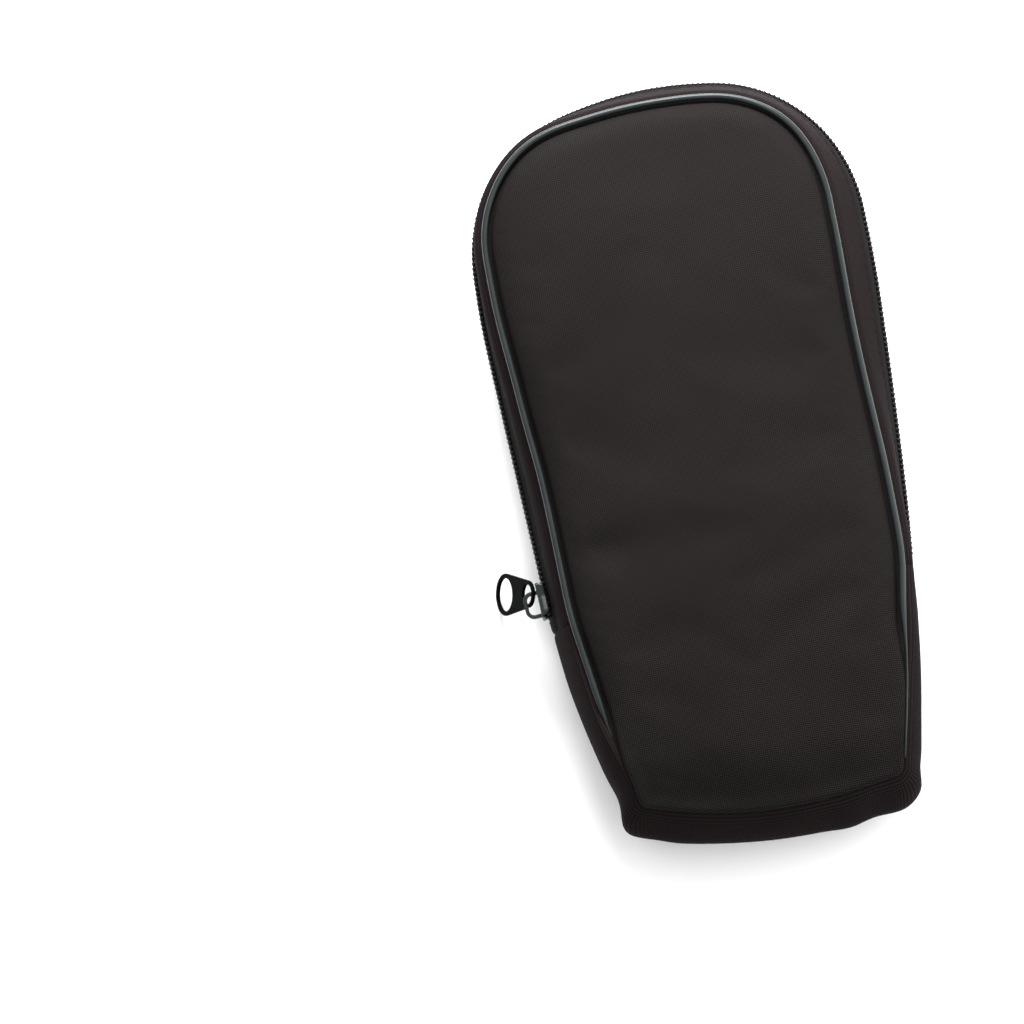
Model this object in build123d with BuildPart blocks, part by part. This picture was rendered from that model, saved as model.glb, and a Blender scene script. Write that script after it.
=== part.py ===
from build123d import *
import math
import os

# ------------------------------------------------------------------
# Soft zip carry case for an otoscope, lying on its flat back.
# Millimetres.  X = width, Y = length (rounded top at +Y), Z = up.
# Origin: middle of the flat back face, on the line of symmetry.
# ------------------------------------------------------------------

# ---- outline of the case at its widest level (the zip) ----
case_length = 208.0
shoulder_half_width = 54.2
crown_radius = 115.0         # flat arch across the top
shoulder_radius = 41.0
hip_half_width = 49.3
hip_height = -38.0           # along Y: the zip ends, the front folds and the foot narrows
hip_radius = 90.0
foot_half_width = 38.4
foot_bow = 4.0               # how far the bottom edge bows outwards
foot_radius = 9.0

# ---- depth ----
case_depth = 40.0
foot_band_half = 7.0         # half height of the upright band of the foot's wall
seam_inset = 5.6             # the walls lean in by this much from the widest line to the seam
seam_drop = 5.4              # from the crowned face down to the gusset's edge

# ---- cloth, foam and cords ----
gusset_thickness = 1.0
cover_thickness = 0.9
lining_thickness = 0.6
tape_thickness = 0.6
piping_diameter = 2.8
binding_thickness = 0.85
binding_depth = 3.2
piping_proud = 0.2           # the cord sits this much outside the gusset's middle
piping_tail = 30.0           # the front cord runs on below the fold, then sinks in its seam
cover_lift = 0.2             # a cover's edge lies this much above the gusset's edge
rim_height = 1.4             # upright edge of a cover beside its piping
bevel_angle = 60.0           # degrees from upright, edge of the crowned cover
sewn_gap = 0.05              # between layers that are sewn together

# ---- fold of the opening front ----
fold_gap = 0.3

# ---- zip ----
row_gap = 0.9                # between the two rows of coils
row_width = 2.3
coil_thickness = 1.8
coil_pitch = 1.4
coil_foot = 0.95             # length along the zip at the tape
coil_head = 0.65             # length along the zip at the middle
tape_show = 2.25             # bare tape between coils and gusset hem
tape_lap = 2.0               # the tape runs on behind the hem by this much
end_tab_length = 2.4
end_tab_thickness = 1.4
end_tab_reach = 4.8          # half its width across the two tapes
end_tab_seam = 5.0           # how far it runs down behind the lower gusset
end_tab_gap = 0.2

# ---- slider ----
slider_rest = 9.0            # it is parked this far above the end of the zip
slider_length = 9.6
slider_margin = 0.35         # the narrow end is this much wider than the chain, each side
slider_flare = 1.3           # the throats are this much wider again, each side
slider_waist = 1.2           # from the middle to where the tail begins
slider_cheek = 3.4           # from the middle to the widest point
slider_corner = 0.8
plate_thickness = 0.9
channel_clearance = 0.5
wedge_clearance = 0.2        # from the post to each row of coils
wedge_length = 2.2
bridge_span = 6.3            # between the middles of its legs
bridge_back = 0.55           # it stands this much behind the middle of the plate
bridge_rise = 3.5            # from the plate to the middle of the strap
bridge_bend = 1.8
bridge_thickness = 1.0
bridge_width = 1.2

# ---- pull tab ----
tab_length = 22.8
tab_width = 11.4
tab_thickness = 0.9
tab_eye_hole = 2.65
tab_eye_wall = 1.0
tab_window_wall = 1.2
tab_droop = 60.0             # degrees below level
tab_sweep = 30.0             # degrees from straight out towards the rounded top
tab_twist = 20.0             # degrees about its own length
tab_eye_ahead = 0.41         # the eye's centre from the leg that it hangs on: along the zip
tab_eye_out = 2.30           # outwards from the plate
tab_eye_below = 1.26         # and downwards

# ---- elastic keeper for the handle ----
keeper_width = 25.0
keeper_height = 20.0
keeper_bore = 24.0
keeper_thickness = 1.4
keeper_bend = 11.0
keeper_foot = 8.0
keeper_above_fold = 3.5


# ------------------------------------------------------------------
# Levels and planes worked out from the sizes
# ------------------------------------------------------------------
middle = case_depth / 2
band_top = middle + foot_band_half
band_bottom = middle - foot_band_half
gusset_top = case_depth - seam_drop
foot_taper = math.degrees(math.atan2(seam_inset, gusset_top - band_top))
piping_radius = piping_diameter / 2
piping_inset = seam_inset + gusset_thickness / 2 - piping_proud
piping_level = gusset_top + piping_radius + sewn_gap
cover_inset = piping_inset + piping_radius + sewn_gap
cover_bottom = gusset_top + cover_lift
rim_top = cover_bottom + rim_height
foam_inset = cover_inset + cover_thickness
foam_rim_top = rim_top - cover_thickness
foam_top = case_depth - cover_thickness
lining_bottom = cover_bottom - lining_thickness
binding_inset = foam_inset - binding_thickness - sewn_gap
binding_bottom = cover_bottom - sewn_gap - binding_depth
chain_top = middle + row_gap / 2 + row_width
tape_bottom = chain_top + sewn_gap
hem_bottom = chain_top + tape_show
tape_top = hem_bottom + tape_lap
tape_inset = coil_thickness + sewn_gap
wall_foot_inset = tape_inset - sewn_gap - gusset_thickness
wall_slope = (seam_inset - wall_foot_inset) / (gusset_top - tape_bottom)
wall_taper = math.degrees(math.atan(wall_slope))
hem_inset = wall_foot_inset + wall_slope * (hem_bottom - tape_bottom)
half_turn = Plane.XY.offset(middle)


def across(height):
    """A plane across the case at a height along Y, facing the rounded top."""
    return Plane(origin=(0, height, 0), x_dir=(1, 0, 0), z_dir=(0, 1, 0))


fold_above = across(hip_height + fold_gap / 2)
fold_below = across(hip_height - fold_gap / 2)
tail_end = across(hip_height - piping_tail)
end_tab_top = across(hip_height + end_tab_length)
end_tab_bottom = across(hip_height - end_tab_seam)
end_tab_inset = gusset_thickness + sewn_gap
tape_start = hip_height + end_tab_length + end_tab_gap
chain_start = across(tape_start)

# ------------------------------------------------------------------
# Outline: a flat crown arc, shoulder arcs, straight sides, hips, bowed foot
# ------------------------------------------------------------------
top = case_length / 2
crown_centre = Vector(0, top - crown_radius)
shoulder_centre_x = shoulder_half_width - shoulder_radius
shoulder_rise = math.sqrt((crown_radius - shoulder_radius) ** 2 - shoulder_centre_x ** 2)
shoulder_centre = Vector(shoulder_centre_x, crown_centre.Y + shoulder_rise)
crown_end = crown_centre + (shoulder_centre - crown_centre).normalized() * crown_radius
hip = Vector(hip_half_width, hip_height)
to_hip = hip - shoulder_centre
shoulder_turn = math.atan2(to_hip.Y, to_hip.X) + math.acos(shoulder_radius / to_hip.length)
shoulder_end = shoulder_centre + Vector(math.cos(shoulder_turn), math.sin(shoulder_turn)) * shoulder_radius
shoulder_chord = (crown_end + shoulder_end) * 0.5 - shoulder_centre
shoulder_bulge = shoulder_centre + shoulder_chord.normalized() * shoulder_radius
foot = Vector(foot_half_width, foot_bow - top)


def flipped(point):
    """The same point on the left half."""
    return Vector(-point.X, point.Y)


with BuildSketch() as widest:
    with BuildLine():
        ThreePointArc(crown_end, (0, top), flipped(crown_end))
        ThreePointArc(flipped(crown_end), flipped(shoulder_bulge), flipped(shoulder_end))
        Line(flipped(shoulder_end), flipped(hip))
        Line(flipped(hip), flipped(foot))
        ThreePointArc(flipped(foot), (0, -top), foot)
        Line(foot, hip)
        Line(hip, shoulder_end)
        ThreePointArc(shoulder_end, shoulder_bulge, crown_end)
    make_face()
    fillet(widest.vertices().group_by(Axis.Y)[0], radius=foot_radius)
    fillet(widest.vertices().filter_by_position(Axis.Y, hip_height, hip_height), radius=hip_radius)


def outline(inset):
    """The widest outline drawn in by inset, as a face on the XY plane."""
    if inset == 0:
        return widest.sketch
    return offset(widest.sketch, amount=-inset, kind=Kind.ARC, mode=Mode.PRIVATE)


def outline_loop(inset, height):
    """The drawn-in outline as a closed wire at a height."""
    return outline(inset).faces()[0].outer_wire().moved(Location((0, 0, height)))


def slab(inset, bottom, height, taper=0.0, mode=Mode.ADD):
    """Extrude the drawn-in outline in the part being built; taper leans its edges inwards."""
    with BuildSketch(Plane.XY.offset(bottom)) as face:
        add(outline(inset))
    extrude(face.sketch, amount=height, taper=taper, mode=mode)


def crowned_slab(inset, bottom, rim, summit, mode=Mode.ADD):
    """A slab with an upright rim and a bevelled crown."""
    slab(inset, bottom, rim - bottom, mode=mode)
    slab(inset, rim, summit - rim, bevel_angle, mode=mode)


# ------------------------------------------------------------------
# Layers of one face, before they are cut at the fold or turned over
# ------------------------------------------------------------------
with BuildPart() as foam_core:
    crowned_slab(foam_inset, cover_bottom, foam_rim_top, foam_top)

with BuildPart() as cover:
    crowned_slab(cover_inset, cover_bottom, rim_top, case_depth)
    crowned_slab(foam_inset, cover_bottom, foam_rim_top, foam_top, mode=Mode.SUBTRACT)

with BuildPart() as lining:
    slab(foam_inset, lining_bottom, lining_thickness)

with BuildPart() as binding:
    slab(binding_inset, binding_bottom, binding_depth)
    slab(binding_inset + binding_thickness, binding_bottom, binding_depth, mode=Mode.SUBTRACT)

# ------------------------------------------------------------------
# Walls: beside the zip a strip that leans in from its hem to the seam; round the foot
# an upright band between two strips that lean in more
# ------------------------------------------------------------------
with BuildPart() as wall:
    slab(hem_inset, hem_bottom, gusset_top - hem_bottom, wall_taper)
    slab(hem_inset + gusset_thickness, hem_bottom, gusset_top - hem_bottom, wall_taper, mode=Mode.SUBTRACT)

with BuildPart() as foot_wall:
    slab(0, band_top, gusset_top - band_top, foot_taper)
    slab(gusset_thickness, band_top, gusset_top - band_top, foot_taper, mode=Mode.SUBTRACT)

# ------------------------------------------------------------------
# Piping: a round cord laid in the seam between wall and cover
# ------------------------------------------------------------------
seam_line = outline_loop(piping_inset, piping_level)
with BuildPart() as piping:
    with BuildSketch(Plane(origin=seam_line @ 0, z_dir=seam_line % 0)):
        Circle(piping_radius)
    sweep(path=seam_line)

# ------------------------------------------------------------------
# Back shell: everything that stays put when the front folds open
# ------------------------------------------------------------------
os.makedirs("parts", exist_ok=True)

with BuildPart() as back_panel:
    mirror(cover.part, about=half_turn)
back_panel.part.label = "back_panel"
export_step(back_panel.part, "parts/back_panel.step")

with BuildPart() as back_foam:
    mirror(foam_core.part, about=half_turn)
back_foam.part.label = "back_foam"
export_step(back_foam.part, "parts/back_foam.step")

with BuildPart() as back_lining:
    mirror(lining.part, about=half_turn)
back_lining.part.label = "back_lining"
export_step(back_lining.part, "parts/back_lining.step")

with BuildPart() as back_binding:
    mirror(binding.part, about=half_turn)
back_binding.part.label = "back_binding"
export_step(back_binding.part, "parts/back_binding.step")

with BuildPart() as back_piping:
    mirror(piping.part, about=half_turn)
back_piping.part.label = "back_piping"
export_step(back_piping.part, "parts/back_piping.step")

with BuildPart() as back_gusset:
    mirror(wall.part, about=half_turn)
    split(bisect_by=fold_above, keep=Keep.TOP)
back_gusset.part.label = "back_gusset"
export_step(back_gusset.part, "parts/back_gusset.step")

with BuildPart() as lower_gusset:
    slab(0, band_bottom, band_top - band_bottom)
    slab(gusset_thickness, band_bottom, band_top - band_bottom, mode=Mode.SUBTRACT)
    add(foot_wall.part)
    mirror(foot_wall.part, about=half_turn)
    split(bisect_by=fold_below, keep=Keep.BOTTOM)
lower_gusset.part.label = "lower_gusset"
export_step(lower_gusset.part, "parts/lower_gusset.step")

with BuildPart() as front_panel_lower:
    add(cover.part)
    split(bisect_by=fold_below, keep=Keep.BOTTOM)
front_panel_lower.part.label = "front_panel_lower"
export_step(front_panel_lower.part, "parts/front_panel_lower.step")

with BuildPart() as front_foam_lower:
    add(foam_core.part)
    split(bisect_by=fold_below, keep=Keep.BOTTOM)
front_foam_lower.part.label = "front_foam_lower"
export_step(front_foam_lower.part, "parts/front_foam_lower.step")

with BuildPart() as front_lining_lower:
    add(lining.part)
    split(bisect_by=fold_below, keep=Keep.BOTTOM)
front_lining_lower.part.label = "front_lining_lower"
export_step(front_lining_lower.part, "parts/front_lining_lower.step")

with BuildPart() as front_binding_lower:
    add(binding.part)
    split(bisect_by=fold_below, keep=Keep.BOTTOM)
front_binding_lower.part.label = "front_binding_lower"
export_step(front_binding_lower.part, "parts/front_binding_lower.step")

with BuildPart() as front_piping_lower:
    add(piping.part)
    split(bisect_by=fold_below, keep=Keep.BOTTOM)
    split(bisect_by=tail_end, keep=Keep.TOP)
front_piping_lower.part.label = "front_piping_lower"
export_step(front_piping_lower.part, "parts/front_piping_lower.step")

# ------------------------------------------------------------------
# Folding front
# ------------------------------------------------------------------
with BuildPart() as front_panel_upper:
    add(cover.part)
    split(bisect_by=fold_above, keep=Keep.TOP)
front_panel_upper.part.label = "front_panel_upper"
export_step(front_panel_upper.part, "parts/front_panel_upper.step")

with BuildPart() as front_foam_upper:
    add(foam_core.part)
    split(bisect_by=fold_above, keep=Keep.TOP)
front_foam_upper.part.label = "front_foam_upper"
export_step(front_foam_upper.part, "parts/front_foam_upper.step")

with BuildPart() as front_lining_upper:
    add(lining.part)
    split(bisect_by=fold_above, keep=Keep.TOP)
front_lining_upper.part.label = "front_lining_upper"
export_step(front_lining_upper.part, "parts/front_lining_upper.step")

with BuildPart() as front_binding_upper:
    add(binding.part)
    split(bisect_by=fold_above, keep=Keep.TOP)
front_binding_upper.part.label = "front_binding_upper"
export_step(front_binding_upper.part, "parts/front_binding_upper.step")

with BuildPart() as front_piping_upper:
    add(piping.part)
    split(bisect_by=fold_above, keep=Keep.TOP)
front_piping_upper.part.label = "front_piping_upper"
export_step(front_piping_upper.part, "parts/front_piping_upper.step")

with BuildPart() as front_gusset:
    add(wall.part)
    split(bisect_by=fold_above, keep=Keep.TOP)
front_gusset.part.label = "front_gusset"
export_step(front_gusset.part, "parts/front_gusset.step")

# ------------------------------------------------------------------
# Zip: woven tapes sewn inside the hems, and a row of coils on each tape
# ------------------------------------------------------------------
with BuildPart() as zipper_tape_front:
    slab(tape_inset, tape_bottom, tape_top - tape_bottom, wall_taper)
    slab(tape_inset + tape_thickness, tape_bottom, tape_top - tape_bottom, wall_taper, mode=Mode.SUBTRACT)
    split(bisect_by=chain_start, keep=Keep.TOP)
zipper_tape_front.part.label = "zipper_tape_front"
export_step(zipper_tape_front.part, "parts/zipper_tape_front.step")

with BuildPart() as zipper_tape_back:
    mirror(zipper_tape_front.part, about=half_turn)
zipper_tape_back.part.label = "zipper_tape_back"
export_step(zipper_tape_back.part, "parts/zipper_tape_back.step")

chain_loop = outline_loop(coil_thickness / 2, middle)
coil_count = int(chain_loop.length / coil_pitch)
coil_step = chain_loop.length / coil_count


def coil_places(first):
    """A plane for each coil along the zip: x along it, y up. The first lies that many pitches on."""
    places = []
    for number in range(coil_count):
        distance = (number + first) * coil_step
        centre = chain_loop.position_at(distance, PositionMode.LENGTH)
        along = chain_loop.tangent_at(distance, PositionMode.LENGTH)
        if centre.Y > tape_start + coil_foot:
            places.append(Plane(origin=centre, x_dir=along, z_dir=along.cross(Vector(0, 0, 1))))
    return places


with BuildPart() as coil:
    with BuildSketch():
        with BuildLine():
            Polyline(
                (-coil_foot / 2, row_gap / 2 + row_width),
                (-coil_head / 2, row_gap / 2),
                (coil_head / 2, row_gap / 2),
                (coil_foot / 2, row_gap / 2 + row_width),
                close=True,
            )
        make_face()
    extrude(amount=coil_thickness / 2, both=True)

with BuildPart() as zipper_teeth_front:
    with Locations(*coil_places(0)):
        add(coil.part)
zipper_teeth_front.part.label = "zipper_teeth_front"
export_step(zipper_teeth_front.part, "parts/zipper_teeth_front.step")

with BuildPart() as back_coil:
    mirror(coil.part, about=Plane.XZ)

with BuildPart() as zipper_teeth_back:
    with Locations(*coil_places(0.5)):
        add(back_coil.part)
zipper_teeth_back.part.label = "zipper_teeth_back"
export_step(zipper_teeth_back.part, "parts/zipper_teeth_back.step")

with BuildPart() as zip_end_tab_right:
    slab(end_tab_inset, middle - end_tab_reach, 2 * end_tab_reach)
    slab(end_tab_inset + end_tab_thickness, middle - end_tab_reach, 2 * end_tab_reach, mode=Mode.SUBTRACT)
    split(bisect_by=end_tab_top, keep=Keep.BOTTOM)
    split(bisect_by=end_tab_bottom, keep=Keep.TOP)
    split(bisect_by=Plane.YZ, keep=Keep.TOP)
zip_end_tab_right.part.label = "zip_end_tab_right"
export_step(zip_end_tab_right.part, "parts/zip_end_tab_right.step")

with BuildPart() as zip_end_tab_left:
    mirror(zip_end_tab_right.part, about=Plane.YZ)
zip_end_tab_left.part.label = "zip_end_tab_left"
export_step(zip_end_tab_left.part, "parts/zip_end_tab_left.step")

# ------------------------------------------------------------------
# Slider: two plates joined by a wedge, with a bridge for the pull tab.
# Its frame has x along the zip, y outwards and z up.
# ------------------------------------------------------------------
zip_foot = flipped(hip)
along_zip = (flipped(shoulder_end) - zip_foot).normalized()
parked = zip_foot + along_zip * (slider_rest / along_zip.Y)
slider_frame = Plane(origin=(parked.X, parked.Y, middle), x_dir=along_zip, z_dir=(0, 0, 1))
slider_tail = row_gap + 2 * row_width + 2 * slider_margin
slider_shoulder = slider_tail + 2 * slider_flare
tape_lean = wall_slope * (slider_shoulder / 2 - row_gap / 2 - row_width)
channel_top = channel_clearance
channel_floor = -tape_inset - tape_lean - tape_thickness - channel_clearance
plate_top = channel_top + plate_thickness
plate_floor = channel_floor - plate_thickness


def slider_level(distance):
    """A plane across the slider, facing outwards, at a distance out from the widest outline."""
    origin = slider_frame.from_local_coords((0, distance, 0))
    return Plane(origin=origin, x_dir=along_zip, z_dir=slider_frame.y_dir)


def hoop(span, rise, bend, thickness):
    """An arch of even thickness that stands on the X axis; span and rise are to its middle."""
    with BuildSketch() as shape:
        Rectangle(span + thickness, rise + thickness / 2, align=(Align.CENTER, Align.MIN))
        fillet(shape.vertices().group_by(Axis.Y)[-1], radius=bend + thickness / 2)
        with BuildSketch(mode=Mode.SUBTRACT) as window:
            Rectangle(span - thickness, rise - thickness / 2, align=(Align.CENTER, Align.MIN))
            fillet(window.vertices().group_by(Axis.Y)[-1], radius=bend - thickness / 2)
    return shape.sketch


with BuildSketch() as plate_outline:
    with BuildLine():
        Polyline(
            (slider_length / 2, slider_tail / 2),
            (slider_waist, slider_tail / 2),
            (-slider_cheek, slider_shoulder / 2),
            (-slider_length / 2, slider_shoulder / 2 - slider_cheek / 2),
            (-slider_length / 2, slider_cheek / 2 - slider_shoulder / 2),
            (-slider_cheek, -slider_shoulder / 2),
            (slider_waist, -slider_tail / 2),
            (slider_length / 2, -slider_tail / 2),
            close=True,
        )
    make_face()
    fillet(plate_outline.vertices(), radius=slider_corner)

bridge_foot = slider_frame.from_local_coords((0, plate_top, 0))
bridge_frame = Plane(origin=bridge_foot, x_dir=along_zip, z_dir=(0, 0, 1))
with BuildPart() as slider_body:
    for level in (plate_floor, channel_top):
        with BuildSketch(slider_level(level)):
            add(plate_outline.sketch)
        extrude(amount=plate_thickness)
    with BuildSketch(slider_level(channel_floor)):
        with Locations((wedge_length / 2 - slider_length / 2, 0)):
            Rectangle(wedge_length, row_gap - 2 * wedge_clearance)
    extrude(amount=channel_top - channel_floor)
    with BuildSketch(bridge_frame):
        with Locations((-bridge_back, 0)):
            add(hoop(bridge_span, bridge_rise, bridge_bend, bridge_thickness))
    extrude(amount=bridge_width / 2, both=True)
slider_body.part.label = "slider_body"
export_step(slider_body.part, "parts/slider_body.step")

# ------------------------------------------------------------------
# Pull tab: its eye hangs round the bridge's upper leg, and it droops beside the case.
# Its frame has x across the tab and y towards its free end.
# ------------------------------------------------------------------
droop = math.radians(tab_droop)
sweep_turn = math.radians(tab_sweep)
twist = math.radians(tab_twist)
outwards = slider_frame.y_dir
tab_heading = outwards * math.cos(sweep_turn) + along_zip * math.sin(sweep_turn)
level_across = along_zip * math.cos(sweep_turn) - outwards * math.sin(sweep_turn)
tab_down = tab_heading * math.cos(droop) - Vector(0, 0, 1) * math.sin(droop)
tab_across = level_across * math.cos(twist) + level_across.cross(tab_down) * math.sin(twist)
upper_leg = bridge_span / 2 - bridge_back
tab_eye = bridge_frame.from_local_coords((upper_leg + tab_eye_ahead, tab_eye_out, -tab_eye_below))
tab_frame = Plane(origin=tab_eye, x_dir=tab_across, z_dir=tab_across.cross(tab_down))
tab_eye_radius = tab_eye_hole + tab_eye_wall
tab_tip = tab_length - tab_eye_radius - tab_width / 2
with BuildPart() as pull_tab:
    with BuildSketch(tab_frame):
        Circle(tab_eye_radius)
        with Locations((0, tab_tip)):
            Circle(tab_width / 2)
        make_hull()
        Circle(tab_eye_hole, mode=Mode.SUBTRACT)
        with Locations((0, tab_tip)):
            Circle(tab_width / 2 - tab_window_wall, mode=Mode.SUBTRACT)
    extrude(amount=tab_thickness / 2, both=True)
pull_tab.part.label = "pull_tab"
export_step(pull_tab.part, "parts/pull_tab.step")

# ------------------------------------------------------------------
# Elastic keeper sewn to the back lining, for the instrument's handle
# ------------------------------------------------------------------
lining_face = case_depth - lining_bottom
keeper_place = hip_height + keeper_above_fold + keeper_width / 2
keeper_plane = Plane(origin=(0, keeper_place, lining_face), x_dir=(1, 0, 0), z_dir=(0, -1, 0))
keeper_span = keeper_bore + keeper_thickness
foot_place = (keeper_span + keeper_foot) / 2
with BuildPart() as elastic_keeper:
    with BuildSketch(keeper_plane):
        add(hoop(keeper_span, keeper_height + keeper_thickness / 2, keeper_bend, keeper_thickness))
        with Locations((foot_place, 0), (-foot_place, 0)):
            Rectangle(keeper_foot, keeper_thickness, align=(Align.CENTER, Align.MIN))
    extrude(amount=keeper_width / 2, both=True)
elastic_keeper.part.label = "elastic_keeper"
export_step(elastic_keeper.part, "parts/elastic_keeper.step")

# ------------------------------------------------------------------
# Joints and openings, for the record
# ------------------------------------------------------------------
pull_pivot = bridge_frame.from_local_coords((upper_leg, tab_eye_out, 0))
pull_axis = outwards * -1
zip_straight = (flipped(shoulder_end) - parked).length - slider_length / 2
print("hinge of the front  ", (0, hip_height, case_depth))
print("slide axis          ", along_zip)
print("slide travel        ", zip_straight)
print("pull pivot          ", pull_pivot)
print("pull axis           ", pull_axis)
print("window of the tab   ", tab_frame.from_local_coords((0, tab_tip, 0)))
print("lowest point of tab ", pull_tab.part.bounding_box().min.Z)
print("coils in a row      ", len(zipper_teeth_front.solids()))
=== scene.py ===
# %% [markdown]
# # A soft zip case
#
# The case is a stuffed cloth pouch that lies on its back. Two padded faces are joined by a wall of
# woven strip. A glossy cord is sewn into each seam, and a coil zip runs round the wall. This lesson
# dresses the fixed frame of the case: the metal slider and its tab keep their own shapes, and every
# soft piece is made again as cloth, cord or coil.

# %% Load the frame
import math

import bmesh
import bpy
import numpy as np
from mathutils import Matrix, Vector, geometry, noise


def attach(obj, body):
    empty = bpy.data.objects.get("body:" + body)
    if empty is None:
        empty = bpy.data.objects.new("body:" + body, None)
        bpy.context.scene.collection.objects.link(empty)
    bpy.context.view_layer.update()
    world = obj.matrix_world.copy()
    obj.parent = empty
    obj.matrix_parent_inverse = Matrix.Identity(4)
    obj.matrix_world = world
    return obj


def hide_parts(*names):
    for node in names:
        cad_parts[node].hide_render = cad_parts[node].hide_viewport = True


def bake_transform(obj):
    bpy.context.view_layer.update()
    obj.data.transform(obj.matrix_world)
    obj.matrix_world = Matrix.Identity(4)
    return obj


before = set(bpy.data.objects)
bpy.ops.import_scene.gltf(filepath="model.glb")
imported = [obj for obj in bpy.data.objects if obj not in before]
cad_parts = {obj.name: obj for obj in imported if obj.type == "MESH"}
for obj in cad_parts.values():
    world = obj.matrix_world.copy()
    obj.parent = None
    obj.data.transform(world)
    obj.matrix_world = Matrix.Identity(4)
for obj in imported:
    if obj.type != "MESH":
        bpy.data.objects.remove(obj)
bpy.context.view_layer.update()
scene = bpy.context.scene

# %% [markdown]
# ## The measures
#
# Everything follows one outline, drawn at the widest line of the case, where the zip is. A place
# on the case is then three numbers: how far along the outline, how far in from it, and how high.
# A wall, a seam cord and a row of coils are all drawn with the same three numbers, so they meet.

# %% Sizes of the case
MM = 0.001
CASE_LENGTH = 208 * MM
CASE_DEPTH = 40 * MM
SHOULDER_HALF_WIDTH = 54.2 * MM
CROWN_RADIUS = 115 * MM
SHOULDER_RADIUS = 41 * MM
HIP_HALF_WIDTH = 49.3 * MM
HIP_HEIGHT = -38 * MM
HIP_RADIUS = 90 * MM
FOOT_HALF_WIDTH = 38.4 * MM
FOOT_BOW = 4 * MM
FOOT_RADIUS = 9 * MM
MIDDLE = CASE_DEPTH / 2
SEAM_CORD_INSET = 6.2 * MM
SEAM_CORD_LEVEL = 36.25 * MM
SEAM_CORD_RADIUS = 0.9 * MM
SHELL, FLAP = "shell", "flap"

# %% [markdown]
# ## The outline
#
# The outline is a flat arc across the top, two shoulder arcs, straight sides, two soft hips and a
# bowed foot with rounded corners. Each arc and line gives points and the directions that point
# outwards. Moving a point in against its direction gives an exact inner copy of the outline, which
# is simpler and truer than scaling it.

# %% Draw the outline once
OUTLINE_STEP = 0.5 * MM


def arc(centre, radius, start, stop):
    """Points and outward directions along an arc, angles in radians."""
    angles = np.linspace(start, stop, max(3, int(abs(stop - start) * radius / OUTLINE_STEP)))
    outward = np.column_stack([np.cos(angles), np.sin(angles)])
    return np.array(centre) + radius * outward, outward


def angle_of(centre, point):
    """The direction from a centre to a point, in radians."""
    return math.atan2(point[1] - centre[1], point[0] - centre[0])


def rounded_corner(corner, before, after, radius):
    """Centre and last point of an arc that rounds a corner turned to the left."""
    before, after = before / np.linalg.norm(before), after / np.linalg.norm(after)
    turn = math.acos(float(np.clip(before @ after, -1, 1)))
    reach = radius * math.tan(turn / 2)
    centre = corner - before * reach + radius * np.array([-before[1], before[0]])
    return centre, corner + after * reach


def right_half():
    """Points and outward directions from the middle of the foot up to the middle of the crown."""
    top = CASE_LENGTH / 2
    crown = np.array([0, top - CROWN_RADIUS])
    shoulder_x = SHOULDER_HALF_WIDTH - SHOULDER_RADIUS
    shoulder_y = crown[1] + math.sqrt((CROWN_RADIUS - SHOULDER_RADIUS) ** 2 - shoulder_x**2)
    shoulder = np.array([shoulder_x, shoulder_y])
    hip = np.array([HIP_HALF_WIDTH, HIP_HEIGHT])
    foot = np.array([FOOT_HALF_WIDTH, FOOT_BOW - top])
    reach = np.linalg.norm(hip - shoulder)
    meet = angle_of(shoulder, hip) + math.acos(SHOULDER_RADIUS / reach)
    shoulder_start = shoulder + SHOULDER_RADIUS * np.array([math.cos(meet), math.sin(meet)])

    bow_radius = (FOOT_HALF_WIDTH**2 + FOOT_BOW**2) / (2 * FOOT_BOW)
    bow = np.array([0, bow_radius - top])
    side = (hip - foot) / np.linalg.norm(hip - foot)
    inward = np.array([-side[1], side[0]])
    start = foot + inward * FOOT_RADIUS - bow
    back = start @ side
    along = -back - math.sqrt(back**2 - start @ start + (bow_radius - FOOT_RADIUS) ** 2)
    corner = foot + inward * FOOT_RADIUS + side * along
    corner_start = angle_of(bow, corner)
    corner_stop = angle_of((0, 0), -inward)

    hip_centre, hip_stop = rounded_corner(hip, hip - foot, shoulder_start - hip, HIP_RADIUS)
    pieces = [
        arc(bow, bow_radius, -math.pi / 2, corner_start),
        arc(corner, FOOT_RADIUS, corner_start, corner_stop),
        arc(hip_centre, HIP_RADIUS, corner_stop, angle_of(hip_centre, hip_stop)),
        arc(shoulder, SHOULDER_RADIUS, meet, angle_of(crown, shoulder)),
        arc(crown, CROWN_RADIUS, angle_of(crown, shoulder), math.pi / 2),
    ]
    return np.vstack([p for p, _ in pieces]), np.vstack([n for _, n in pieces])


# %% Measure along the outline
def path_lengths(points):
    """How far along a path each of its points lies."""
    return np.concatenate([[0], np.cumsum(np.linalg.norm(np.diff(points, axis=0), axis=1))])


half_points, half_outward = right_half()
mirror_x = np.array([-1, 1])
OUTLINE = np.vstack([half_points, half_points[::-1] * mirror_x])
OUTWARD = np.vstack([half_outward, half_outward[::-1] * mirror_x])
RUN = path_lengths(OUTLINE)
ROUND = RUN[-1]
print("length of the outline", round(ROUND, 4), "m")


def outline_at(run, inset=0.0):
    """Plan positions along the outline, drawn in by inset, and their outward directions."""
    run = np.mod(run, ROUND)
    place = np.column_stack([np.interp(run, RUN, OUTLINE[:, i]) for i in (0, 1)])
    outward = np.column_stack([np.interp(run, RUN, OUTWARD[:, i]) for i in (0, 1)])
    outward /= np.linalg.norm(outward, axis=1)[:, None]
    return place - outward * np.reshape(inset, (-1, 1)), outward


def run_at_height(height):
    """How far along the outline its right side crosses a height along Y."""
    right = slice(0, len(half_points))
    return float(np.interp(height, OUTLINE[right, 1], RUN[right]))


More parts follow.
